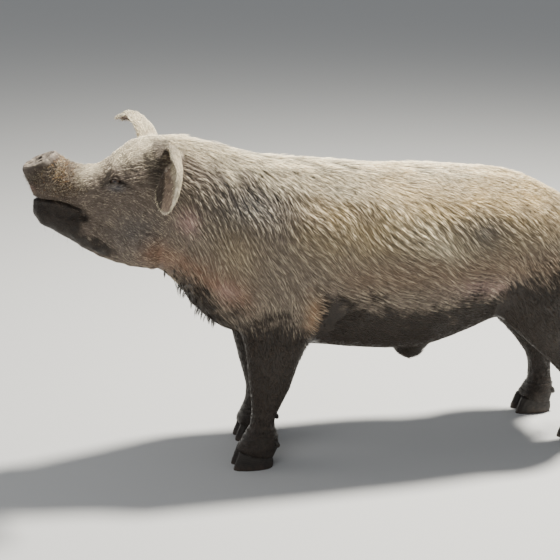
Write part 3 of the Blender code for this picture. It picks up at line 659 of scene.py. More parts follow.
def folds(points, normals):
    """How far folds and creases of the skin push out (over 0) or in, along its normal."""
    x, y, z = points.T
    push = np.zeros(len(points))
    distance, along = side_distance(points, MOUTH)
    front = step(-0.452, -0.474, x)
    push -= MOUTH_DEPTH * hump(distance, 0.0030) * front * (0.55 + 0.45 * (1 - along))
    push += 0.0022 * hump(distance - 0.0085, 0.0045) * front
    # Wrinkles across the muzzle behind the disc
    back_of_disc = (points - np.array(DISC_CENTRE)) @ np.array(DISC_AIM)
    muzzle = step(-0.40, -0.46, x) * step(0.80, 0.84, z)
    wave = np.sin(-back_of_disc / MUZZLE_WRINKLE * 2 * math.pi + 1.5 * ripple(points, 0.10, 3))
    push += 0.0010 * wave * muzzle * step(-0.016, -0.030, back_of_disc)
    outer = step(0.03, 0.06, np.abs(y))
    for line, width, depth in CREASES:
        distance, along = side_distance(points, line)
        ends = np.sin(math.pi * np.clip(0.08 + 0.84 * along, 0, 1)) ** 0.5
        push -= depth * hump(distance, width) * ends * outer
    for line in EYE_CREASES:
        distance, along = side_distance(points, line)
        push -= 0.0034 * hump(distance, 0.0030) * (1 - 0.7 * along) * outer
        push += 0.0012 * hump(distance - 0.0060, 0.0030) * (1 - 0.7 * along) * outer
    legs = step(*LEG_TOP, z)
    push += 0.0010 * ripple(points, 0.035, 5) * legs
    push += 0.0022 * ripple(points, 0.16, 6) * (1 - legs) * step(-0.2, 0.0, x)
    push += 0.0008 * ripple(points, 0.030, 7) * step(-0.05, -0.2, x)
    push += 0.0022 * step(0.085, 0.060, z) * step(0.7, 0.3, np.abs(normals[:, 2]))
    # Wrinkles at the fetlocks
    fetlock = step(0.075, 0.095, z) * step(0.175, 0.140, z)
    push += 0.0012 * np.sin(z / FETLOCK_WRINKLE * 2 * math.pi + ripple(points, 0.1, 8)) * fetlock
    push += 0.0011 * crusted(points) * (0.6 + ripple(points, 0.011, 9))
    return push


def coat_depth(points):
    """How far the skin lies inside the outline that the coat gives."""
    x, _, z = points.T
    body = step(-0.24, -0.10, x)
    legs = step(*LEG_TOP, z)
    back = step(0.80, 0.90, z) * body
    feet = step(0.12, 0.07, z)
    return 0.0010 + 0.0028 * body * (1 - legs) + 0.0016 * back + 0.0006 * legs - 0.0012 * feet


def make_skin():
    skin = fused_flesh()
    change(skin.data, keep_largest)
    smooth(skin.data, 8, 0.5 - 0.35 * step(0.10, 0.06, vertex_array(skin.data)[:, 2]))
    thin_body(skin)
    x, _, z = from_fore(skin.data).T
    smooth(skin.data, 14, 0.6 * step(-0.22, -0.12, x) * step(0.07, 0.14, z))
    mesh = skin.data
    change(mesh, refine, near_features)
    change(mesh, refine, lambda points: near_eyes(points, 0.024))
    here = smooth(mesh, 6, 0.5 * near_features(from_fore(mesh))) - FORE_POINT
    normals = normal_array(mesh)
    inset = GROWN + coat_depth(here)
    here = here + normals * (folds(here, normals) - inset)[:, None]
    # The pastern comes down over the tops of the claws
    under = step(-0.2, -0.8, normals[:, 2]) * step(0.075, 0.060, here[:, 2])
    here[:, 2] -= 0.0070 * under
    here = shape_disc(here)
    for side, _ in SIDES:
        here = shape_lids(here, side)
    soften = near_eyes(here, 0.030) * 0.35 + near_disc(here) * 0.3
    here = relax(here, edges_of(mesh), 2, soften)
    low = here[:, 2] < 0.012
    here[low, 2] = np.maximum(here[low, 2], 0.006)
    set_vertices(mesh, here + FORE_POINT)
    mesh.shade_smooth()
    return skin


# Markings
LEFT_EAR = (
    (-0.200, -0.080, 0.922), (-0.200, -0.146, 0.924), (-0.208, -0.192, 0.880), (-0.238, -0.202, 0.832),
    (-0.257, -0.197, 0.799),
)
RIGHT_EAR = (
    (-0.225, 0.070, 0.925), (-0.248, 0.110, 0.975), (-0.290, 0.150, 1.004), (-0.336, 0.166, 0.985),
)
EARS = {
    "ear_left": (LEFT_EAR, (-0.90, -0.40, -0.02)),
    "ear_right": (RIGHT_EAR, (-0.65, -0.05, -0.75)),
}
EAR_FOCUS = 0.040
# How far across the photo's view a place is, from x, y and a constant
VIEW_ACROSS = (0.978, -0.110, 0.0147)
# Up the near ear: height, and how far across that view the painted shade in its hollow meets the brown
# flap and the flap meets the pale rim
EAR_EDGES = (
    (0.802, -0.2180, -0.1985), (0.823, -0.2128, -0.1895), (0.845, -0.2089, -0.1843),
    (0.866, -0.2076, -0.1856), (0.887, -0.2063, -0.1900), (0.909, -0.2115, -0.1921),
    (0.930, -0.2141, -0.1921), (0.951, -0.2219, -0.1921),
)
TAIL = (
    (1.040, 0.0, 0.672), (1.074, 0.006, 0.648), (1.082, 0.024, 0.610), (1.066, 0.044, 0.580),
    (1.078, 0.062, 0.548), (1.094, 0.060, 0.510), (1.092, 0.048, 0.470),
)
# The top edge of the wet mud, and the muddy jaw and chin, as (x, z) in the side view
MUD_LINE = (
    # Round the brisket the line follows the dark of its underside, so there the mud is partly painted
    # shade
    (-0.60, 0.30), (-0.25, 0.50), (-0.20, 0.605), (-0.15, 0.574), (-0.10, 0.514), (0.03, 0.484),
    (0.115, 0.470), (0.150, 0.440), (0.178, 0.552), (0.284, 0.527), (0.458, 0.498), (0.606, 0.508),
    (0.705, 0.540), (0.87, 0.585), (1.00, 0.63), (1.20, 0.62),
)
JAW_LINE = ((-0.590, 0.775), (-0.54, 0.740), (-0.505, 0.742))
CHIN_LINE = ((-0.52, 0.705), (-0.45, 0.685), (-0.405, 0.668))
# The depth in mud of hide that takes none
CLEAN = -3.0
# Also in the side view: the flank's pale patch, the flushed throat and the brisket's clotted hair
PALE_LINE = ((0.40, 0.780), (0.46, 0.705), (0.53, 0.650))
THROAT_LINE = ((-0.27, 0.655), (-0.16, 0.610), (-0.06, 0.545))
BRISKET_LINE = ((-0.20, 0.600), (-0.165, 0.535), (-0.12, 0.455))

MARK_REACH = 0.042
# Places by centre and radii, on both sides but for the last
DARK_FLANK = ((0.23, 0.20, 0.835), (0.05, 0.1, 0.030))
LOIN = ((0.55, 0.10, 0.885), (0.13, 0.12, 0.055))
SADDLE = ((0.24, 0.15, 0.885), (0.13, 0.20, 0.050))
CRUST_TOP = ((-0.500, 0.02, 0.895), (0.040, 0.060, 0.034))
CRUST_SIDE = ((-0.505, 0.06, 0.840), (0.048, 0.050, 0.034))
# Painted shade under the disc
UNDER_DISC = ((-0.585, 0.03, 0.862), (0.034, 0.06, 0.034))
RED_LIPS = ((-0.598, 0.02, 0.834), (0.017, 0.040, 0.012))
BARE_LIPS = ((-0.592, 0.0, 0.832), (0.020, 0.040, 0.015))
# Painted shade on the cheek before the near ear, on the near side only
BEFORE_LEFT_EAR = ((-0.256, -0.12, 0.896), (0.026, 0.07, 0.062))
# Spots on both sides: colour, share, centre and radii
SHOULDER_SPOTS = (
    (STRAW, 0.30, (-0.06, 0.19, 0.68), (0.06, 0.2, 0.08)),
    (SLATE, 0.90, (-0.03, 0.17, 0.80), (0.11, 0.12, 0.060)),
    (SLATE, 0.85, (0.63, 0.20, 0.70), (0.07, 0.1, 0.055)),
)
FACE_SPOTS = (
    (CREAM, 0.85, (-0.295, 0.04, 0.950), (0.055, 0.08, 0.042)),
    (CREAM, 0.75, (-0.354, 0.04, 0.920), (0.038, 0.05, 0.022)),
    (CREAM, 0.85, (-0.428, 0.03, 0.888), (0.034, 0.06, 0.024)),
    (CREAM, 0.80, (-0.458, 0.05, 0.870), (0.016, 0.07, 0.026)),
    (GREY_BROWN, 0.7, (-0.425, 0.08, 0.850), (0.030, 0.06, 0.022)),
    (GREY, 0.55, (-0.32, 0.12, 0.72), (0.07, 0.1, 0.06)),
)
# Thin hair: behind the ear, between the fore legs, behind the elbow, at the flank's fold and the belly
BARE_SPOTS = (
    (PINK, 0.95, (-0.187, 0.16, 0.757), (0.026, 0.06, 0.034)),
    (PINK, 0.45, (-0.085, 0.15, 0.560), (0.030, 0.10, 0.022)),
    (TAN, 0.90, (0.150, 0.19, 0.485), (0.024, 0.06, 0.055)),
    (PINK, 0.45, (0.640, 0.19, 0.530), (0.09, 0.1, 0.030)),
    (TAN, 0.70, (0.400, 0.08, 0.400), (0.060, 0.06, 0.020)),
)
EYE_SPOTS = (
    (MUD_AND_SHADE, 0.75, (-0.382, 0.085, 0.874), (0.034, 0.04, 0.014)),
    (BAG_GREY, 0.9, (-0.366, 0.09, 0.843), (0.022, 0.04, 0.011)),
)


def paint(colours, colour, weight):
    colours += (np.array(colour) - colours) * weight[:, None]


def paint_spots(colours, points, spots):
    near = folded(points)
    for colour, share, centre, radii in spots:
        paint(colours, colour, share * bump_at(near, centre, radii))


def node_reach(name, points, reach):
    """1 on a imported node's surface, 0 from this distance on. Points are in the model's own place."""
    bm = node_bmesh(name)
    tree = BVHTree.FromBMesh(bm)
    bm.free()
    low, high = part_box(name)
    close = np.all((points > np.array(low) - reach) & (points < np.array(high) + reach), axis=1)
    found = np.zeros(len(points))
    for i in np.nonzero(close)[0]:
        hit = tree.find_nearest(Vector(points[i]), reach)
        if hit[0] is not None:
            found[i] = 1 - hit[3] / reach
    return found


def crusted(points):
    """How thickly dry dirt cakes the muzzle behind the disc."""
    near = folded(points)
    return np.clip(bump_at(near, *CRUST_TOP) + 0.7 * bump_at(near, *CRUST_SIDE), 0, 1)


def paint_body(colours, points, normals):
    """Cream along the back, partly painted sunlight where it faces up, hay and straw on the flank, grey
    shoulder, saddle and face.
    """
    x, y, z = points.T
    near = folded(points)
    rough = 0.5 + 0.5 * ripple(points, 0.11, 31)
    streak = 0.5 + 0.5 * ripple(points * (1, 1, 0.5), 0.045, 32)
    upper = step(0.58, 0.76, z) * step(0.05, 0.20, x)
    paint(colours, STRAW, np.clip(upper * (0.45 + 0.40 * rough + 0.25 * streak), 0, 1))
    paint_spots(colours, points, SHOULDER_SPOTS)
    dark_flank = bump_at(near, *DARK_FLANK) * (0.5 + rough)
    paint(colours, SLATE, np.clip(dark_flank, 0, 0.9))
    patch = hump(side_distance(points, PALE_LINE)[0], MARK_REACH) * step(0.1, 0.16, np.abs(y))
    paint(colours, CREAM, 0.80 * patch * (0.5 + 0.5 * streak))
    paint(colours, TAN, 0.45 * step(0.50, 0.62, z) * step(0.66, 0.56, z) * step(0.15, 0.3, x))
    paint(colours, FACE_GREY, step(*FACE_EDGE, x))
    paint_spots(colours, points, FACE_SPOTS)
    # Pale hair along the back, laid where the hide faces up, so that it is partly painted sunlight
    from_up = 0.52 - 0.28 * step(0.05, 0.35, x)
    pale_and_sunlit_top = step(0, 0.5, normals[:, 2] - from_up + 0.12 * ripple(points, 0.06, 33))
    paint(colours, CREAM, np.clip(pale_and_sunlit_top * step(-0.30, -0.20, x) * step(0.74, 0.86, z), 0, 1))
    paint(colours, CREAM, 0.8 * step(0.60, 0.74, z) * step(0.88, 0.97, x) * rough)
    hay = step(0.70, 0.78, z) * step(0.25, 0.45, x) * (0.45 + 0.55 * streak)
    # The loin: whitish hair, partly painted sunlight on the top of the back
    loin = bump_at(near, *LOIN)
    paint(colours, HAY, np.clip(0.85 * hay * (1 - loin), 0, 1))
    paint(colours, WHITISH, 0.9 * loin)
    saddle = bump_at(near, *SADDLE) * (0.4 + 0.6 * streak)
    paint(colours, GREY_BROWN, 0.62 * saddle)
    paint(colours, FLUSH, 0.75 * hump(side_distance(points, THROAT_LINE)[0], MARK_REACH))
    paint_spots(colours, points, BARE_SPOTS)


def paint_eyes(colours, points):
    """A dark brow, a grey bag, painted shade in the creases, and dark lid edges deepened with painted
    shade.
    """
    paint_spots(colours, points, EYE_SPOTS)
    outer = step(0.03, 0.06, np.abs(points[:, 1]))
    # Painted shade in the creases from the corners of the eyes
    for line in EYE_CREASES:
        distance, along = side_distance(points, line)
        paint(colours, BLACK_MUD_AND_SHADE, hump(distance, 0.0062) * (1 - 0.30 * along) * outer)
    # The lid edges: dark skin, darkened further as the painted shade of the lids and brow
    for side, _ in SIDES:
        u, v, w = eye_frame(points, side).T
        paint(colours, BLACK_MUD_AND_SHADE, 0.95 * step(0.0058, 0.0016, slit_distance(u, v)) * (np.abs(w) < 0.03))


def paint_muzzle(colours, points):
    """Dry crust behind the disc, the pale disc with painted shade in its nostrils and under it, mud and
    painted shade on its side, the lips, and painted shade along the mouth.
    """
    x = points[:, 0]
    near = folded(points)
    crust = crusted(points)
    paint(colours, CRUST_BASE_AND_SHADE, np.clip(1.3 * crust, 0, 0.95))
    paint(colours, CRUST, np.clip(crust * (0.1 + 0.8 * ripple(points, 0.010, 34)), 0, 0.8))
    across, lift, out = disc_frame(points).T
    radial = np.hypot(across, lift) / DISC_RADIUS
    disc = step(1.12, 0.98, radial) * step(-0.018, -0.008, out)
    paint(colours, DISC_GREY, disc)
    paint(colours, CRUST_BASE_AND_SHADE, np.clip(disc * (0.05 + 0.6 * ripple(points, 0.020, 38)), 0, 0.75))
    paint(colours, CREAM, np.clip(disc * (0.8 * ripple(points, 0.011, 39) - 0.5), 0, 0.6))
    # Painted shade in and round the nostrils
    for side, _ in SIDES:
        nostril = np.hypot(across - side * NOSTRIL_SPREAD, lift)
        paint(colours, BLACK_MUD_AND_SHADE, step(0.016, 0.009, nostril) * (out > -0.03) * step(-0.5, -0.52, x))
    # Painted shade under the disc, in the crust's dark colour
    paint(colours, CRUST_BASE_AND_SHADE, np.clip(1.2 * bump_at(near, *UNDER_DISC) * (1 - disc), 0, 0.95))
    # Painted shade along the mouth's line
    mouth, _ = side_distance(points, MOUTH)
    paint(colours, MUD_AND_SHADE, 0.8 * hump(mouth, 0.012) * step(-0.44, -0.47, x))
    # The disc's side under its rim, darkened: mud, and painted shade
    side_of_disc = step(0.85, 1.0, radial) * step(0.030, -0.005, lift)
    side_of_disc *= step(-0.060, -0.036, out) * step(0.004, -0.004, out) * step(-0.47, -0.50, x)
    paint(colours, MUD_AND_SHADE, 0.9 * side_of_disc)
    paint(colours, LIP_RED, 0.9 * bump_at(near, *RED_LIPS) * (1 - disc))


def paint_ears(colours, points, on_ear, inside, rim):
    """Pale outside and along the rims, whose pale hair is painted whiter as backlight; the near one with
    painted shade in its hollow, on the cheek before it and at its root, and brown on its flap, painted
    lighter as sunlight.
    """
    x, y, z = points.T
    paint(colours, CREAM, 0.9 * on_ear * (1 - inside))
    # The far ear's inside: pink skin, painted lighter against the shade in its curled tip
    paint(colours, PINK, 0.25 * on_ear * inside * (y > 0))
    left = on_ear * step(0.0, -0.05, y)
    view_x, view_y, shift = VIEW_ACROSS
    across = view_x * x + view_y * y + shift
    heights, dark_edge, pale_edge = np.array(EAR_EDGES).T
    wavy = across + 0.0012 * ripple(points, 0.03, 40)
    hollow = step(0.004, -0.003, wavy - np.interp(z, heights, dark_edge))
    pale = step(-0.002, 0.004, wavy - np.interp(z, heights, pale_edge))
    # The flap, painted lighter than its own brown as the sunlight that it takes
    paint(colours, SUNLIT_FLAP, 0.95 * left * inside)
    paint(colours, CREAM, 0.9 * left * inside * pale)
    # Painted shade in the near ear's hollow
    paint(colours, BLACK_MUD_AND_SHADE, 0.9 * left * inside * hollow)
    # Painted shade on the cheek before the near ear, so that the hollow reads deep
    paint(colours, BLACK_MUD_AND_SHADE, 0.9 * bump_at(points, *BEFORE_LEFT_EAR) * (1 - on_ear))
    # In the shaded hollow the ear's front edge takes the face's grey, not the pale rim
    front_edge = left * hollow * step(-0.19, -0.16, y) * step(0.80, 0.82, z)
    paint(colours, FACE_GREY, 0.9 * front_edge * np.maximum(rim, inside))
    # The rims: pale hair, painted whiter as the sunlight through it, but not in the near ear's shaded
    # hollow
    paint(colours, EAR_FUZZ_AND_BACKLIGHT, 0.95 * rim * (1 - left * hollow * step(0.800, 0.812, z)))
    # Painted shade at the near ear's root, where it folds over, darker still across its middle
    paint(colours, GREY_BROWN, 0.55 * left * step(0.935, 0.960, z))
    top = step(-0.240, -0.234, across) * step(-0.192, -0.200, across) * step(0.914, 0.934, z)
    paint(colours, MUD_AND_SHADE, 0.85 * top * step(0.0, -0.05, y))


def mud_depth(points, on_ear):
    """How deep a spot lies in the wet mud (over 0) or above it."""
    x, y, z = points.T
    line_x, line_z = np.array(MUD_LINE).T
    line = np.interp(x, line_x, line_z)
    line -= 0.05 * step(0.18, 0.08, np.abs(y)) * step(0.3, 0.5, x)
    mud = (line - z) / 0.05 + 0.35 * ripple(points, 0.09, 36)
    mud = np.where(x < -0.26, CLEAN, mud)
    jaw = (0.062 - side_distance(points, JAW_LINE)[0]) / 0.02
    chin = (0.030 - side_distance(points, CHIN_LINE)[0]) / 0.018
    low_face = np.maximum(jaw, chin) + 0.45 * ripple(points, 0.03, 37) - 2.5 * step(0.800, 0.812, z)
    mud = np.maximum(mud, np.where(x < -0.37, low_face, CLEAN))
    return np.clip(np.where(on_ear > 0.2, CLEAN, mud), CLEAN, 6)


def markings(points, normals, on_ear, ear_inside, ear_rim):
    """The hide's colour."""
    colours = all_of(GREY_BROWN, len(points))
    paint_body(colours, points, normals)
    paint_eyes(colours, points)
    paint_muzzle(colours, points)
    paint_ears(colours, points, on_ear, ear_inside, ear_rim)
    return np.clip(colours, 0, 1)


# Lie of the coat
# Spots as (x, z) in the side view, and how steeply down, in degrees, the hair runs back from there
LIE = (
    (-0.56, 0.87, -14), (-0.50, 0.76, 6), (-0.43, 0.84, -6), (-0.37, 0.905, -30), (-0.30, 0.955, -28),
    (-0.40, 0.72, 26), (-0.30, 0.66, 24), (-0.30, 0.76, 40), (-0.23, 0.86, 58), (-0.18, 0.93, 30),
    (-0.15, 0.80, 60), (-0.15, 0.65, 58), (-0.12, 0.53, 50), (-0.02, 0.92, 34), (0.00, 0.86, 82),
    (0.02, 0.75, 64), (0.02, 0.60, 56), (0.00, 0.50, 70), (0.05, 0.38, 82), (0.03, 0.20, 88),
    (0.00, 0.10, 90), (0.16, 0.87, 36), (0.20, 0.78, 60), (0.20, 0.65, 42), (0.24, 0.50, 26),
    (0.26, 0.38, 10), (0.40, 0.84, 26), (0.40, 0.75, 56), (0.42, 0.62, 38), (0.45, 0.50, 22),
    (0.45, 0.36, 8), (0.60, 0.82, 24), (0.60, 0.72, 58), (0.62, 0.60, 34), (0.60, 0.48, 18),
    (0.78, 0.80, 28), (0.80, 0.68, 54), (0.80, 0.56, 50), (0.86, 0.42, 60), (0.93, 0.30, 76),
    (0.96, 0.15, 88), (1.00, 0.66, 74),
)
LIE_REACH = 0.085


def coat_lie(points, normals, on_ear, on_tail):
    """The unit direction in which the coat lies at each point."""
    x, y, z = points.T
    spots = np.array(LIE)
    distance = np.hypot(x[:, None] - spots[:, 0], z[:, None] - spots[:, 1])
    weight = hump(distance, LIE_REACH) + 1e-5 / (0.01 + distance**4)
    angle = weight @ spots[:, 2] / weight.sum(axis=1)
    angle = np.where(normals[:, 2] < -0.6, 0.4 * angle, angle)
    angle = np.radians(angle + 9 * ripple(points, 0.15, 41) + 8 * ripple(points, 0.055, 42))
    top = step(0.5, 0.95, normals[:, 2])
    side = np.tanh(y / 0.02)
    outward = 0.30 * top * side * step(-0.3, -0.1, x) + 0.16 * ripple(points, 0.08, 43) * top
    way = np.column_stack([np.cos(angle), outward, -np.sin(angle)])
    for name, (line, _) in EARS.items():
        ear_way = nearest_on_line(points, line)[2]
        here = on_ear * (y < 0 if name == "ear_left" else y > 0)
        way += (ear_way - way) * here[:, None]
    tail_way = nearest_on_line(points, TAIL)[2]
    way += (tail_way - way) * on_tail[:, None]
    return laid(way, normals)


def coat_plan(points, normals, look):
    """Tufts a square metre (as a share), their length, width and how far they stand up."""
    on_ear, ear_inside, on_tail, mud = (look[key] for key in ("on_ear", "ear_inside", "on_tail", "mud"))
    x, y, z = points.T
    face = step(-0.17, -0.26, x) * (1 - on_ear)
    muzzle = step(-0.42, -0.50, x) * (1 - on_ear)
    legs = step(0.44, 0.30, z) * step(-0.25, -0.1, x)
    belly = legs * step(0.16, 0.2, x) * step(0.80, 0.7, x)
    legs = legs * (1 - belly)
    feet = step(0.16, 0.09, z)
    back = step(0.55, 0.95, normals[:, 2]) * (1 - face)
    length = 0.027 + 0.006 * back
    lengths = (
        (face, 0.0105), (muzzle, 0.0060), (legs, 0.0150), (feet, 0.0085), (belly, 0.019),
        (on_ear, 0.012), (on_tail, 0.030),
    )
    for mask, value in lengths:
        length = length + (value - length) * mask
    width = 0.0007 + 0.026 * length
    lift = (0.085 + 0.045 * back - 0.015 * face) * (1 - 0.45 * step(-0.3, 0.6, mud))
    density = 1 + 1.3 * face + 1.0 * muzzle + 0.5 * legs + 0.8 * on_ear * (1 - ear_inside) + 0.2 * back
    density = density * (1 - 0.55 * on_ear * ear_inside) * (1 - 0.15 * step(0, 1, mud))
    # Bare: hooves, eyes and their creases, the disc and the lips
    across, up, out = disc_frame(points).T
    bare = near_eyes(points, 0.0165) | (z < 0.030)
    bare |= (np.hypot(across, up) < DISC_RADIUS * 1.10) & (out > -0.022) & (x < -0.48)
    bare |= (side_distance(points, MOUTH)[0] < 0.0045) & (x < -0.455)
    for line in EYE_CREASES:
        crease, along = side_distance(points, line)
        bare |= (crease < 0.0052 * (1 - 0.4 * along)) & (np.abs(y) > 0.03)
    density = np.where(bare, 0, density * (1 - 0.8 * bump_at(folded(points), *BARE_LIPS)))
    return density, length, width, lift


# Tufts
RING_PLACES = np.array([0.0, 0.0, 0.0, 0.48, 0.48, 0.48, 1.0])
TUFT_CORNERS = len(RING_PLACES)
TUFT_FACES = np.array([
    (0, 2, 1), (0, 1, 4), (0, 4, 3), (1, 2, 5), (1, 5, 4),
    (2, 0, 3), (2, 3, 5), (3, 4, 6), (4, 5, 6), (5, 3, 6),
])
# A tuft's corners on its patch of the coat map
PATCH = np.array([
    (-0.5, -0.5), (0.0, -0.34), (0.5, -0.5), (-0.5, 0.0), (0.0, 0.16), (0.5, 0.0), (0.0, 0.5),
])


def pick_roots(mesh, density, count, draw):
    """Places spread over the skin by density: faces, and each place's share of their corners."""
    faces = triangles_of(mesh)
    a, b, c = vertex_array(mesh)[faces].transpose(1, 0, 2)
    area = np.linalg.norm(np.cross(b - a, c - a), axis=1) / 2
    weight = np.cumsum(area * density[faces].mean(axis=1))
    places = (np.arange(count) + draw.uniform(0, 1, count)) * weight[-1] / count
    chosen = np.searchsorted(weight, places)
    a, b = draw.uniform(0, 1, (2, count))
    flip = a + b > 1
    a[flip], b[flip] = 1 - a[flip], 1 - b[flip]
    shares = np.column_stack([1 - a - b, a, b])
    return faces[chosen], shares


def spread(faces, shares, *several):
    """Each of several vertex values, read at places on faces."""
    found = []
    for values in several:
        part = shares if values.ndim == 1 else shares[:, :, None]
        found.append((values[faces] * part).sum(axis=1))
    return found


def locks(points, across, normals, on_ear, on_tail):
    """Noise drawn out along the coat's lie, read a little to each side of every point.

    It is over 0 on the crests of the locks and under 0 in the gaps between them.
    """
    sides = (-LOCK_ASIDE * across, LOCK_ASIDE * across)
    totals = [ripple(points + aside, LOCK_SPACING, LOCK_SEED, LOCK_WAVES) for aside in sides]
    for sign in (-1, 1):
        here = points.copy()
        for _ in range(4):
            here = here + sign * LOCK_STEP * coat_lie(here, normals, on_ear, on_tail)
            for total, aside in zip(totals, sides):
                total += ripple(here + aside, LOCK_SPACING, LOCK_SEED, LOCK_WAVES)
    return [total / totals[0].std() for total in totals]


def unwrapped_skin(skin):
    """A light copy of the skin with its own unwrap, for the coat's map."""
    light = add_object("unwrap", skin.data.copy())
    thin(light, UNWRAP_FACES_KEPT)
    bpy.ops.object.select_all(action="DESELECT")
    light.select_set(True)
    bpy.context.view_layer.objects.active = light
    bpy.ops.object.mode_set(mode="EDIT")
    bpy.ops.mesh.select_all(action="SELECT")
    bpy.ops.uv.smart_project(angle_limit=math.radians(60), island_margin=0.003)
    bpy.ops.object.mode_set(mode="OBJECT")
    return light


def map_places(light, points):
    """Each point's place on the unwrap."""
    mesh = light.data
    corners = triangles_of(mesh)
    uv = read_rows(mesh.uv_layers.active.data, "uv", 2)[triangles_of(mesh, "loops")]
    places = vertex_array(mesh)
    tree = BVHTree.FromPolygons(places.tolist(), corners.tolist())
    face, hits = [], []
    for point in points:
        hit = tree.find_nearest(Vector(point))
        hits.append(hit[0][:])
        face.append(hit[2])
    face, hits = np.array(face), np.array(hits)
    a, b, c = places[corners[face]].transpose(1, 0, 2)
    ab, ac, ap = b - a, c - a, hits - a
    d00, d01, d11 = (ab * ab).sum(1), (ab * ac).sum(1), (ac * ac).sum(1)
    d20, d21 = (ap * ab).sum(1), (ap * ac).sum(1)
    under = np.maximum(d00 * d11 - d01 * d01, 1e-14)
    v = np.clip((d11 * d20 - d01 * d21) / under, 0, 1)
    w = np.clip((d00 * d21 - d01 * d20) / under, 0, 1)
    first, second, third = uv[face].transpose(1, 0, 2)
    return first + v[:, None] * (second - first) + w[:, None] * (third - first)


def tuft_points(roots, normals, ways, length, width, lift, curl):
    """The seven corners of every tuft: three at the root, three half way, and the tip."""
    across = np.cross(normals, ways)
    corners = []
    for t, wide, rise in ((0.0, 0.8, 0.0), (0.48, 1.0, 0.85), (1.0, 0.0, 1.0)):
        middle = roots + ways * (length * t)[:, None]
        middle = middle + normals * (length * lift * rise - TUFT_ROOT_DEPTH * (t == 0))[:, None]
        middle = middle + across * (curl * t * t)[:, None]
        half = across * (width * wide / 2)[:, None]
        crown = normals * (width * 0.35 * wide)[:, None]
        corners += [middle - half, middle + crown, middle + half] if wide > 0 else [middle]
    return np.stack(corners, axis=1)


def tuft_mesh(name, corners, values, uv):
    """One mesh of all these tufts. values holds what each tuft carries."""
    count = len(corners)
    mesh = bpy.data.meshes.new(name)
    faces = (TUFT_FACES[None] + TUFT_CORNERS * np.arange(count)[:, None, None]).reshape(-1)
    mesh.vertices.add(count * TUFT_CORNERS)
    mesh.vertices.foreach_set("co", corners.astype(np.float32).ravel())
    mesh.loops.add(len(faces))
    mesh.loops.foreach_set("vertex_index", faces.astype(np.int32))
    mesh.polygons.add(len(faces) // 3)
    mesh.polygons.foreach_set("loop_start", np.arange(0, len(faces), 3, dtype=np.int32))
    mesh.polygons.foreach_set("use_smooth", np.ones(len(faces) // 3, bool))
    mesh.update(calc_edges=True)
    add_values(mesh, "along", np.tile(RING_PLACES, count))
    for key, value in values.items():
        add_values(mesh, key, np.repeat(value, TUFT_CORNERS, axis=0))
    layer = mesh.uv_layers.new(name="OFBake")
    on_patch = PATCH[TUFT_FACES.reshape(-1)] * TUFT_PATCH
    full = uv[:, None, :] + on_patch[None]
    layer.data.foreach_set("uv", full.astype(np.float32).ravel())
    return mesh


def tufts_along(root, course, facing, length, width, lift, bright, tint, mud):
    """Tufts with courses of their own: corners, roots, and the tone, tint and mud that they carry."""
    count = len(root)
    corners = tuft_points(
        root, facing, course, length, np.full(count, width), np.full(count, lift), np.zeros(count)
    )
    return corners + FORE_POINT, root, np.full(count, bright), tint, mud


def hairs(root, course, normal, length, width, bright, tint, mud):
    """Thin tufts, each facing away from the skin."""
    course = unit(course)
    facing = unit(np.cross(np.cross(course, normal), course))
    return tufts_along(root, course, facing, length, width, HAIR_LIFT, bright, tint, mud)


def lashes(side, draw):
    """The lashes of an upper lid."""
    u = np.linspace(-0.82, 0.82, LASHES) * EYE_HALF_LONG
    middle, half = slit_shape(u)
    w = ball_height(EYE_RADIUS, np.hypot(u, middle + half)) + 0.6 * LID_THICKNESS
    root = from_eye(np.column_stack([u, middle + half + 0.0008, w]), side)
    way = np.column_stack([u * 30, np.full(LASHES, 0.35), np.full(LASHES, 0.9)])
    course = unit((way + draw.normal(0, 0.08, (LASHES, 3))) @ eye_turn(side).T)
    facing = np.cross(np.cross(course, (0, 0, 1.0)), course)
    length = np.full(LASHES, LASH_LENGTH)
    tint, mud = all_of(GREY_BROWN, LASHES), np.full(LASHES, CLEAN)
    return tufts_along(root, course, facing, length, LASH_WIDTH, LASH_LIFT, 1.0, tint, mud)


def loose_hairs(mesh, normals, ways, look, draw):
    """Hairs that stand out of the coat: the whiskers, the muzzle's bristles and the ears' fringe."""
    points = from_fore(mesh)
    x, y, z = points.T
    out = disc_frame(points)[:, 2]
    snout = step(-0.452, -0.465, x) * (out < -0.024) * (np.abs(y) > 0.018) * (x > -0.60)
    bristly = step(-0.425, -0.475, x) * (out < -0.014) * step(0.812, 0.830, z)
    fringed = look["ear_rim"] ** 2 * (1 - (y < 0) * (y > -0.18) * (x < -0.225))
    # Count, where, how far they stand out, scatter, lengths, width and colour
    rows = (
        (WHISKERS, snout, 0.9, 0.22, (0.012, 0.030), 0.0007, None),
        (MUZZLE_BRISTLES, bristly, 0.55, 0.42, (0.005, 0.012), 0.0006, BRISTLE),
        (EAR_FRINGE, fringed, 0.5, 0.20, (0.005, 0.011), 0.0009, None),
    )
    made = []
    for count, weight, away, scatter, lengths, width, colour in rows:
        faces, shares = pick_roots(mesh, weight, count, draw)
        root, normal, way, tint, mud = spread(
            faces, shares, points, normals, ways, look["tint"], look["mud"]
        )
        course = 0.8 * way + away * normal + draw.normal(0, scatter, (count, 3))
        if colour is not None:
            tint = all_of(colour, count) * draw.uniform(0.28, 0.92, (count, 1))
        length = draw.uniform(*lengths, count)
        made.append(hairs(root, course, normal, length, width, 1.15, tint, mud))
    return made


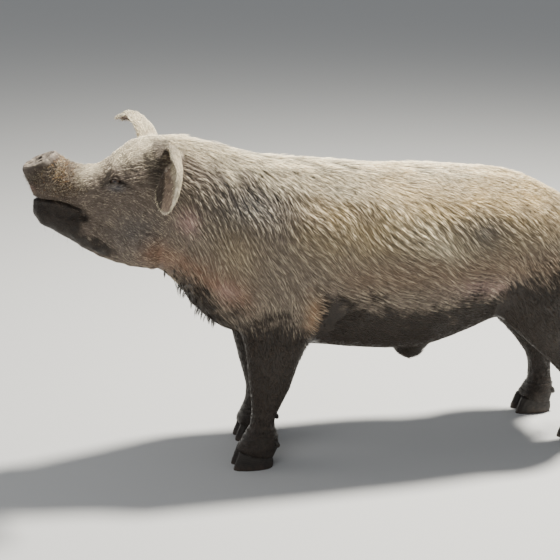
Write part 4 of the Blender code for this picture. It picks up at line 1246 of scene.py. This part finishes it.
def clotted_locks(mesh, normals, draw):
    """Wet hair that hangs from the throat and the brisket in muddy points."""
    points = from_fore(mesh)
    line, _ = side_distance(points, BRISKET_LINE)
    weight = step(0.045, 0.020, line) * step(0.10, 0.07, np.abs(points[:, 1]))
    weight = weight * step(0.30, 0.75, normals @ np.array((-0.8, 0.0, -0.6)))
    faces, shares = pick_roots(mesh, weight, CLOTTED_LOCKS, draw)
    centre, normal = np.repeat(spread(faces, shares, points, normals), HAIRS_IN_LOCK, axis=1)
    count = len(centre)
    hang = np.repeat(draw.normal((0.30, 0.0, -1.0), 0.16, (CLOTTED_LOCKS, 3)), HAIRS_IN_LOCK, axis=0)
    reach = np.repeat(draw.uniform(0.010, 0.026, CLOTTED_LOCKS), HAIRS_IN_LOCK)
    aside = np.cross(normal, draw.normal(size=(count, 3))) * 0.0032
    root = centre + aside
    tip = centre + (hang + 0.45 * normal) * (reach * draw.uniform(0.8, 1.1, count))[:, None]
    course = tip - root
    length = np.linalg.norm(course, axis=1)
    tint, mud = all_of(BLACK_MUD_AND_SHADE, count), np.full(count, 2.0)
    return hairs(root, course, normal, length, CLOT_WIDTH, 0.9, tint, mud)


def short_coat(mesh, normals, ways, look, draw):
    """The tufts that cover the animal, gathered on the crests of locks, with dark gaps between; the
    crests are painted lighter and the gaps darker, as light and shade.
    """
    points = from_fore(mesh)
    density, length, width, lift = coat_plan(points, normals, look)
    faces, shares = pick_roots(mesh, density, TUFTS, draw)
    order = np.argsort(spread(faces, shares, points)[0][:, 0], kind="stable")
    faces, shares = faces[order], shares[order]
    roots, up, way = spread(faces, shares, points, normals, ways)
    length, width, lift = spread(faces, shares, length, width, lift)
    on_ear, on_tail, tint, mud = spread(
        faces, shares, look["on_ear"], look["on_tail"], look["tint"], look["mud"]
    )
    up = unit(up)
    way = laid(way, up)
    across = np.cross(up, way)
    near, far = locks(roots, across, up, on_ear, on_tail)
    crest = np.clip((near + far) / 2, -1.6, 1.6)
    x, _, z = roots.T
    shaggy = hump(side_distance(roots, SHAGGY_LINE)[0], SHAGGY_REACH)
    low = step(0.76, 0.62, z)
    length = length * draw.uniform(0.75, 1.2, TUFTS) * (1 + 0.20 * shaggy)
    width = width * draw.uniform(0.75, 1.25, TUFTS)
    gather = np.clip((far - near) / 1.6, -1, 1) * np.minimum(0.0026, 0.1 * length)
    stand = lift * (1 + 0.45 * crest) * draw.uniform(0.75, 1.25, TUFTS)
    stand *= 1 - 0.35 * low * step(0.82, 0.76, x)
    turn = draw.normal(0, math.radians(3.5), TUFTS)
    way = way * np.cos(turn)[:, None] + across * np.sin(turn)[:, None]
    corners = tuft_points(roots, up, way, length, width, stand, gather) + FORE_POINT
    corners[:, :, 2] = np.maximum(corners[:, :, 2], 0.0015)
    # The crests are painted lighter and the gaps darker, as light and shade: less so low on the sides,
    # where the coat is smoother than on neck and back, more where it is shaggy; its tone is most uneven
    # on the face
    crest_light_and_shade = 0.40 - 0.20 * low * step(-0.27, -0.15, x) + 0.20 * shaggy
    uneven = draw.normal(0, 0.09, TUFTS) * (1 + step(*FACE_EDGE, x))
    tone = 1 - 0.06 * shaggy + crest_light_and_shade * crest + uneven
    return corners, roots, tone, tint, mud - 0.35 * crest


def grow_coat(skin, look):
    draw = np.random.default_rng(COAT_SEED)
    mesh = skin.data
    normals = normal_array(mesh)
    ways = coat_lie(from_fore(mesh), normals, look["on_ear"], look["on_tail"])
    made = [short_coat(mesh, normals, ways, look, draw)]
    made += loose_hairs(mesh, normals, ways, look, draw)
    made.append(clotted_locks(mesh, normals, draw))
    made += [lashes(side, draw) for side, _ in SIDES]
    corners, roots, tone, tint, mud = (np.concatenate(rows) for rows in zip(*made))
    light = unwrapped_skin(skin)
    uv = map_places(light, roots + FORE_POINT)
    bpy.data.objects.remove(light)
    pieces = []
    for i, start in enumerate(range(0, len(roots), TUFTS_IN_PIECE)):
        some = slice(start, start + TUFTS_IN_PIECE)
        values = {"tint": tint[some], "mud": mud[some], "tone": tone[some]}
        name = f"coat_{i + 1}"
        pieces.append(add_object(name, tuft_mesh(name, corners[some], values, uv[some])))
    return pieces


# Eyes, claws and the dirt on the muzzle
def make_eye(side, which):
    """The eyeball, bulging over its iris."""
    bm = bmesh.new()
    bmesh.ops.create_uvsphere(bm, u_segments=64, v_segments=48, radius=EYE_RADIUS)
    bulge = math.sqrt(EYE_RADIUS**2 - CORNEA_REACH**2) - math.sqrt(CORNEA_RADIUS**2 - CORNEA_REACH**2)
    for v in bm.verts:
        radial = math.hypot(v.co.x, v.co.y)
        if v.co.z > 0 and radial < CORNEA_REACH:
            v.co.z = bulge + math.sqrt(CORNEA_RADIUS**2 - radial**2)
    obj = object_from(f"eyeball_{which}", bm)
    mesh = obj.data
    points = vertex_array(mesh)
    radial = np.hypot(points[:, 0], points[:, 1])
    front = points[:, 2] > 0
    colours = all_of(EYE_WHITE, len(points))
    paint(colours, EYE_BROWN, step(*IRIS_EDGE, radial) * front)
    rays = 0.5 + 0.5 * np.sin(IRIS_RAYS * np.arctan2(points[:, 1], points[:, 0]))
    paint(colours, TAN, 0.12 * rays * step(0.0062, 0.0050, radial) * front)
    pupil = np.hypot(points[:, 0] / PUPIL_RADII[0], points[:, 1] / PUPIL_RADII[1])
    paint(colours, PUPIL_BLACK, step(1.15, 0.95, pupil) * front)
    add_values(mesh, "tint", colours)
    place = Matrix.Translation(fore(*mirrored(EYE_CENTRE, side))) @ aimed(mirrored(EYE_AIM, side))
    mesh.transform(place)
    mesh.shade_smooth()
    return obj


def make_claw(name):
    """A packed claw with its growth rings."""
    obj = object_from(f"{name}_horn", node_bmesh(name))
    fuse(obj, CLAW_GRAIN)
    mesh = obj.data
    points = smooth(mesh, 3, 0.5)
    normals = normal_array(mesh)
    wall = step(0.9, 0.5, np.abs(normals[:, 2]))
    turns = (points[:, 2] + 0.2 * points[:, 0]) / CLAW_RING
    rings = np.sin(2 * math.pi * turns + ripple(points, 0.05, 71))
    push = 0.00018 * rings * wall + 0.0004 * ripple(points, 0.012, 72) - 0.0003
    points = points + normals * push[:, None]
    sole = name.startswith("claw") & (points[:, 2] < 0.0016)
    points[sole, 2] = 0
    points[:, 2] = np.maximum(points[:, 2], 0)
    set_vertices(mesh, points)
    low, high = points[:, 2].min(), points[:, 2].max()
    colours = all_of(0.7 * np.array(BLACK_MUD_AND_SHADE), len(points))
    paint(colours, MUD_AND_SHADE, 0.30 * step(-0.4, 1.2, rings) * wall)
    uneven = points[:, 2] + 0.006 * ripple(points, 0.02, 73)
    paint(colours, MUD_AND_SHADE, 0.7 * step(low + 0.4 * (high - low), low, uneven))
    add_values(mesh, "tint", colours)
    mesh.shade_smooth()
    return obj


def chip(bm, draw):
    """A flake of dried dirt: vertices, their places and a colour."""
    made = bmesh.ops.create_icosphere(bm, subdivisions=1, radius=1)["verts"]
    size = 0.0006 + 0.0019 * draw.uniform() ** 2.5
    size = size * np.array([1, draw.uniform(0.4, 1), draw.uniform(0.25, 0.6)])
    shape = [Vector(np.array(v.co) * size * draw.uniform(0.6, 1.4, 3)) for v in made]
    return made, shape, CHIP_COLOURS[draw.choice(len(CHIP_COLOURS), p=CHIP_SHARES)]


def straw(bm, draw):
    """A bit of straw, one end off the skin: vertices, their places and a colour."""
    made = bmesh.ops.create_cone(bm, segments=4, radius1=1, radius2=0.6, depth=1, cap_ends=True)["verts"]
    length, thick = draw.uniform(0.004, 0.013), draw.uniform(0.00022, 0.00045)
    tilt = draw.uniform(-0.1, 0.75)
    shape = []
    for v in made:
        far = v.co.z * length
        shape.append(Vector((far, v.co.x * thick, v.co.y * thick * 0.6 + far * tilt + 0.001)))
    return made, shape, STRAW_COLOURS[draw.choice(len(STRAW_COLOURS), p=STRAW_SHARES)]


def make_crust(skin):
    """Chips of dried dirt and bits of straw on the muzzle."""
    draw = np.random.default_rng(CRUST_SEED)
    places, normals = vertex_array(skin.data), normal_array(skin.data)
    out = disc_frame(places - FORE_POINT)[:, 2]
    weight = crusted(places - FORE_POINT) ** 1.5 * (out < -0.012) * (places[:, 2] > 0.815)
    chosen = draw.choice(len(places), CHIPS + STRAWS, p=weight / weight.sum())
    bm = bmesh.new()
    tints = []
    for i, k in enumerate(chosen):
        normal = Vector(normals[k])
        way = normal.cross(Vector(draw.normal(size=3))).normalized()
        axes = Matrix((way, normal.cross(way), normal)).transposed()
        made, shape, tint = chip(bm, draw) if i < CHIPS else straw(bm, draw)
        for v, place in zip(made, shape):
            v.co = axes @ place + Vector(places[k]) + normal * 0.0006
            tints.append(tint)
    obj = object_from("muzzle_dirt", bm)
    add_values(obj.data, "tint", np.array(tints))
    return obj


# Materials
def feed(tree, node, inputs):
    """Gives a node its inputs, as values or as other nodes' sockets."""
    for key, value in inputs.items():
        socket = node.inputs[key]
        if isinstance(value, bpy.types.NodeSocket):
            tree.links.new(value, socket)
        elif socket.type == "RGBA" and len(value) == 3:
            socket.default_value = (*value, 1.0)
        else:
            socket.default_value = value


def wire(tree, kind, inputs=None, **settings):
    """A new shader node with its settings and inputs."""
    node = tree.nodes.new(kind)
    for key, value in settings.items():
        setattr(node, key, value)
    feed(tree, node, inputs or {})
    return node


def carried(tree, name, output="Fac"):
    """What the mesh carries at each vertex."""
    return wire(tree, "ShaderNodeAttribute", attribute_name=name).outputs[output]


def noise(tree, place, scale, detail=4.0, roughness=0.55):
    inputs = {"Vector": place, "Scale": scale, "Detail": detail, "Roughness": roughness}
    return wire(tree, "ShaderNodeTexNoise", inputs).outputs["Fac"]


def spans(tree, value, low, high, to_low=0.0, to_high=1.0):
    inputs = {"Value": value, "From Min": low, "From Max": high, "To Min": to_low, "To Max": to_high}
    return wire(tree, "ShaderNodeMapRange", inputs).outputs["Result"]


def math_node(tree, operation, a, b=0.0, c=0.0):
    return wire(tree, "ShaderNodeMath", {0: a, 1: b, 2: c}, operation=operation).outputs[0]


def mix(tree, share, a, b, blend="MIX"):
    node = wire(tree, "ShaderNodeMix", data_type="RGBA", blend_type=blend)
    feed(tree, node, {0: share, 6: a, 7: b})
    return node.outputs[2]


def bumped(tree, height, strength, distance):
    inputs = {"Height": height, "Strength": strength, "Distance": distance}
    return wire(tree, "ShaderNodeBump", inputs).outputs["Normal"]


def new_group(name, inputs, outputs):
    group = bpy.data.node_groups.new(name, "ShaderNodeTree")
    for key, kind in inputs:
        group.interface.new_socket(key, in_out="INPUT", socket_type=kind)
    for key, kind in outputs:
        group.interface.new_socket(key, in_out="OUTPUT", socket_type=kind)
    return group, group.nodes.new("NodeGroupInput"), group.nodes.new("NodeGroupOutput")


def muddied_group():
    """The hide's marking with its mud: colour, how wet it is, and how high the mud stands."""
    colour, number, way = "NodeSocketColor", "NodeSocketFloat", "NodeSocketVector"
    group, start, end = new_group(
        "muddied",
        (("Tint", colour), ("Mud", number), ("Place", way)),
        (("Color", colour), ("Wet", number), ("Height", number)),
    )
    place = start.outputs["Place"]
    broad = noise(group, place, 22, 5, 0.6)
    fine = noise(group, place, 160, 4, 0.6)
    edge = math_node(group, "ADD", start.outputs["Mud"], spans(group, broad, 0.3, 0.7, -0.9, 0.9))
    edge = math_node(group, "ADD", edge, spans(group, fine, 0.3, 0.7, -0.35, 0.35))
    wet = spans(group, edge, -0.45, 0.75)
    splash = spans(group, noise(group, place, 75, 3, 0.7), 0.60, 0.68)
    splash = math_node(group, "MULTIPLY", splash, spans(group, start.outputs["Mud"], -2.6, 0.0))
    wet_all = math_node(group, "MAXIMUM", wet, math_node(group, "MULTIPLY", splash, 0.7))
    dried = mix(group, spans(group, fine, 0.35, 0.65), BLACK_MUD_AND_SHADE, MUD_AND_SHADE)
    tint = mix(group, spans(group, broad, 0.35, 0.65, 0, 0.28), start.outputs["Tint"], GREY_BROWN)
    tint = mix(group, spans(group, fine, 0.50, 0.72, 0, 0.35), tint, MUD_AND_SHADE)
    made = mix(group, wet_all, tint, dried)
    height = math_node(group, "MULTIPLY", wet_all, fine)
    feed(group, end, {"Color": made, "Wet": wet_all, "Height": height})
    return group


def hide_values(tree, group):
    """Where a spot is, and what the muddied group gives there."""
    place = wire(tree, "ShaderNodeTexCoord").outputs["Object"]
    made = wire(tree, "ShaderNodeGroup", node_tree=group)
    tint, mud = carried(tree, "tint", "Color"), carried(tree, "mud")
    feed(tree, made, {"Tint": tint, "Mud": mud, "Place": place})
    return place, made.outputs


def new_material(name):
    made = bpy.data.materials.new(name)
    made.use_nodes = True
    tree = made.node_tree
    return made, tree, tree.nodes["Principled BSDF"]


def skin_material(group):
    made, tree, shader = new_material("pig_hide")
    place, hide = hide_values(tree, group)
    broad = noise(tree, place, 60, 4, 0.6)
    fine = noise(tree, place, 520, 3, 0.6)
    dark = mix(tree, 1.0, hide["Color"], UNDER_COAT_SHADE, "MULTIPLY")
    colour = mix(tree, spans(tree, broad, 0.35, 0.65, 0.0, 0.5), dark, hide["Color"])
    pores = wire(tree, "ShaderNodeTexVoronoi", {"Vector": place, "Scale": 820.0}).outputs["Distance"]
    height = math_node(tree, "MULTIPLY_ADD", fine, 0.5, pores)
    height = math_node(tree, "MULTIPLY_ADD", hide["Height"], 2.0, height)
    height = math_node(tree, "MULTIPLY_ADD", broad, 1.2, height)
    feed(tree, shader, {
        "Base Color": colour,
        "Roughness": spans(tree, hide["Wet"], 0, 1, 0.66, 0.36),
        "Normal": bumped(tree, height, 0.55, 0.0016),
        "Specular IOR Level": 0.35,
    })
    return made


def coat_material(group):
    made, tree, shader = new_material("bristle")
    _, hide = hide_values(tree, group)
    tone, along = carried(tree, "tone"), carried(tree, "along")
    dry = math_node(tree, "SUBTRACT", 1.0, hide["Wet"])
    paleness = wire(tree, "ShaderNodeRGBToBW", {"Color": hide["Color"]}).outputs["Val"]
    # Painted glints: dry tufts on the crests of locks take a pale colour, more where the hair is pale
    glint = math_node(tree, "MULTIPLY", dry, spans(tree, tone, 0.9, 1.5, 0.0, 0.50))
    glint = math_node(tree, "MULTIPLY", glint, spans(tree, paleness, 0.08, 0.45, 0.30, 1.0))
    pale = mix(tree, glint, hide["Color"], CREAM)
    # Painted shade towards each tuft's root, over the tone's painted light on crests and shade in gaps
    shade = math_node(tree, "MULTIPLY", tone, spans(tree, along, 0.0, 0.8, 0.42, 1.22))
    grey = wire(tree, "ShaderNodeCombineColor", dict.fromkeys(("Red", "Green", "Blue"), shade))
    colour = mix(tree, 1.0, pale, grey.outputs["Color"], "MULTIPLY")
    feed(tree, shader, {
        "Base Color": colour,
        "Roughness": spans(tree, hide["Wet"], 0, 1, 0.50, 0.34),
        "Specular IOR Level": 0.40,
    })
    return made


def plain_material(name, roughness, coat, relief=0.0, scale=200.0):
    """Takes its colour from the mesh."""
    made, tree, shader = new_material(name)
    feed(tree, shader, {
        "Base Color": carried(tree, "tint", "Color"),
        "Roughness": roughness,
        "Coat Weight": coat,
        "Coat Roughness": 0.02,
    })
    if relief:
        place = wire(tree, "ShaderNodeTexCoord").outputs["Object"]
        feed(tree, shader, {"Normal": bumped(tree, noise(tree, place, scale), 0.7, relief)})
    return made


def look_at_skin(skin):
    """Reads where the ears and the tail are, and marks the skin."""
    mesh = skin.data
    world = vertex_array(mesh)
    points = world - FORE_POINT
    normals = normal_array(mesh)
    on_ear = np.zeros(len(points))
    inside = np.zeros(len(points))
    for name, (line, opens) in EARS.items():
        here = step(0.05, 0.55, node_reach(name, world, EAR_REACH))
        opens = EAR_FOCUS * np.array(opens) / np.linalg.norm(opens)
        toward = unit(nearest_on_line(points, np.array(line) + opens)[3] - points)
        on_ear = np.maximum(on_ear, here)
        inside = np.maximum(inside, here * step(-0.15, 0.25, (normals * toward).sum(axis=1)))
    on_tail = step(0.05, 0.5, node_reach("tail", world, TAIL_REACH))
    edge = 4 * inside * (1 - inside) * on_ear
    spread_out = relax(np.repeat(edge[:, None], 3, axis=1), edges_of(mesh), 5, 0.6)[:, 0]
    ear_rim = np.clip(3.2 * spread_out, 0, 1) * step(0.3, 0.9, on_ear)
    tint = markings(points, normals, on_ear, inside, ear_rim)
    mud = mud_depth(points, on_ear)
    add_values(mesh, "tint", tint)
    add_values(mesh, "mud", mud)
    return {
        "on_ear": on_ear, "ear_inside": inside, "ear_rim": ear_rim, "on_tail": on_tail,
        "tint": tint, "mud": mud,
    }


place_camera()
lay_floor()
set_lights()
skin = make_skin()
look = look_at_skin(skin)
muddied = muddied_group()
skin.data.materials.append(skin_material(muddied))
bristle = coat_material(muddied)
coat = grow_coat(skin, look)
for piece in coat:
    piece.data.materials.append(bristle)
    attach(piece, "root")
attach(skin, "root")
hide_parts(*FLESH)
eye_material = plain_material("wet_eye", 0.06, 1.0)
for side, which in SIDES:
    eyeball = make_eye(side, which)
    eyeball.data.materials.append(eye_material)
    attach(eyeball, "root")
    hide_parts(f"eye_{which}")
horn = plain_material("claw_horn", 0.62, 0.0, 0.0008, 260)
for name in [n for n in nodes if n.startswith(("claw", "dewclaw"))]:
    claw = make_claw(name)
    claw.data.materials.append(horn)
    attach(claw, "root")
    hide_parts(name)
dirt = make_crust(skin)
dirt.data.materials.append(plain_material("dried_dirt", 0.85, 0.0, 0.0004, 900))
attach(dirt, "root")
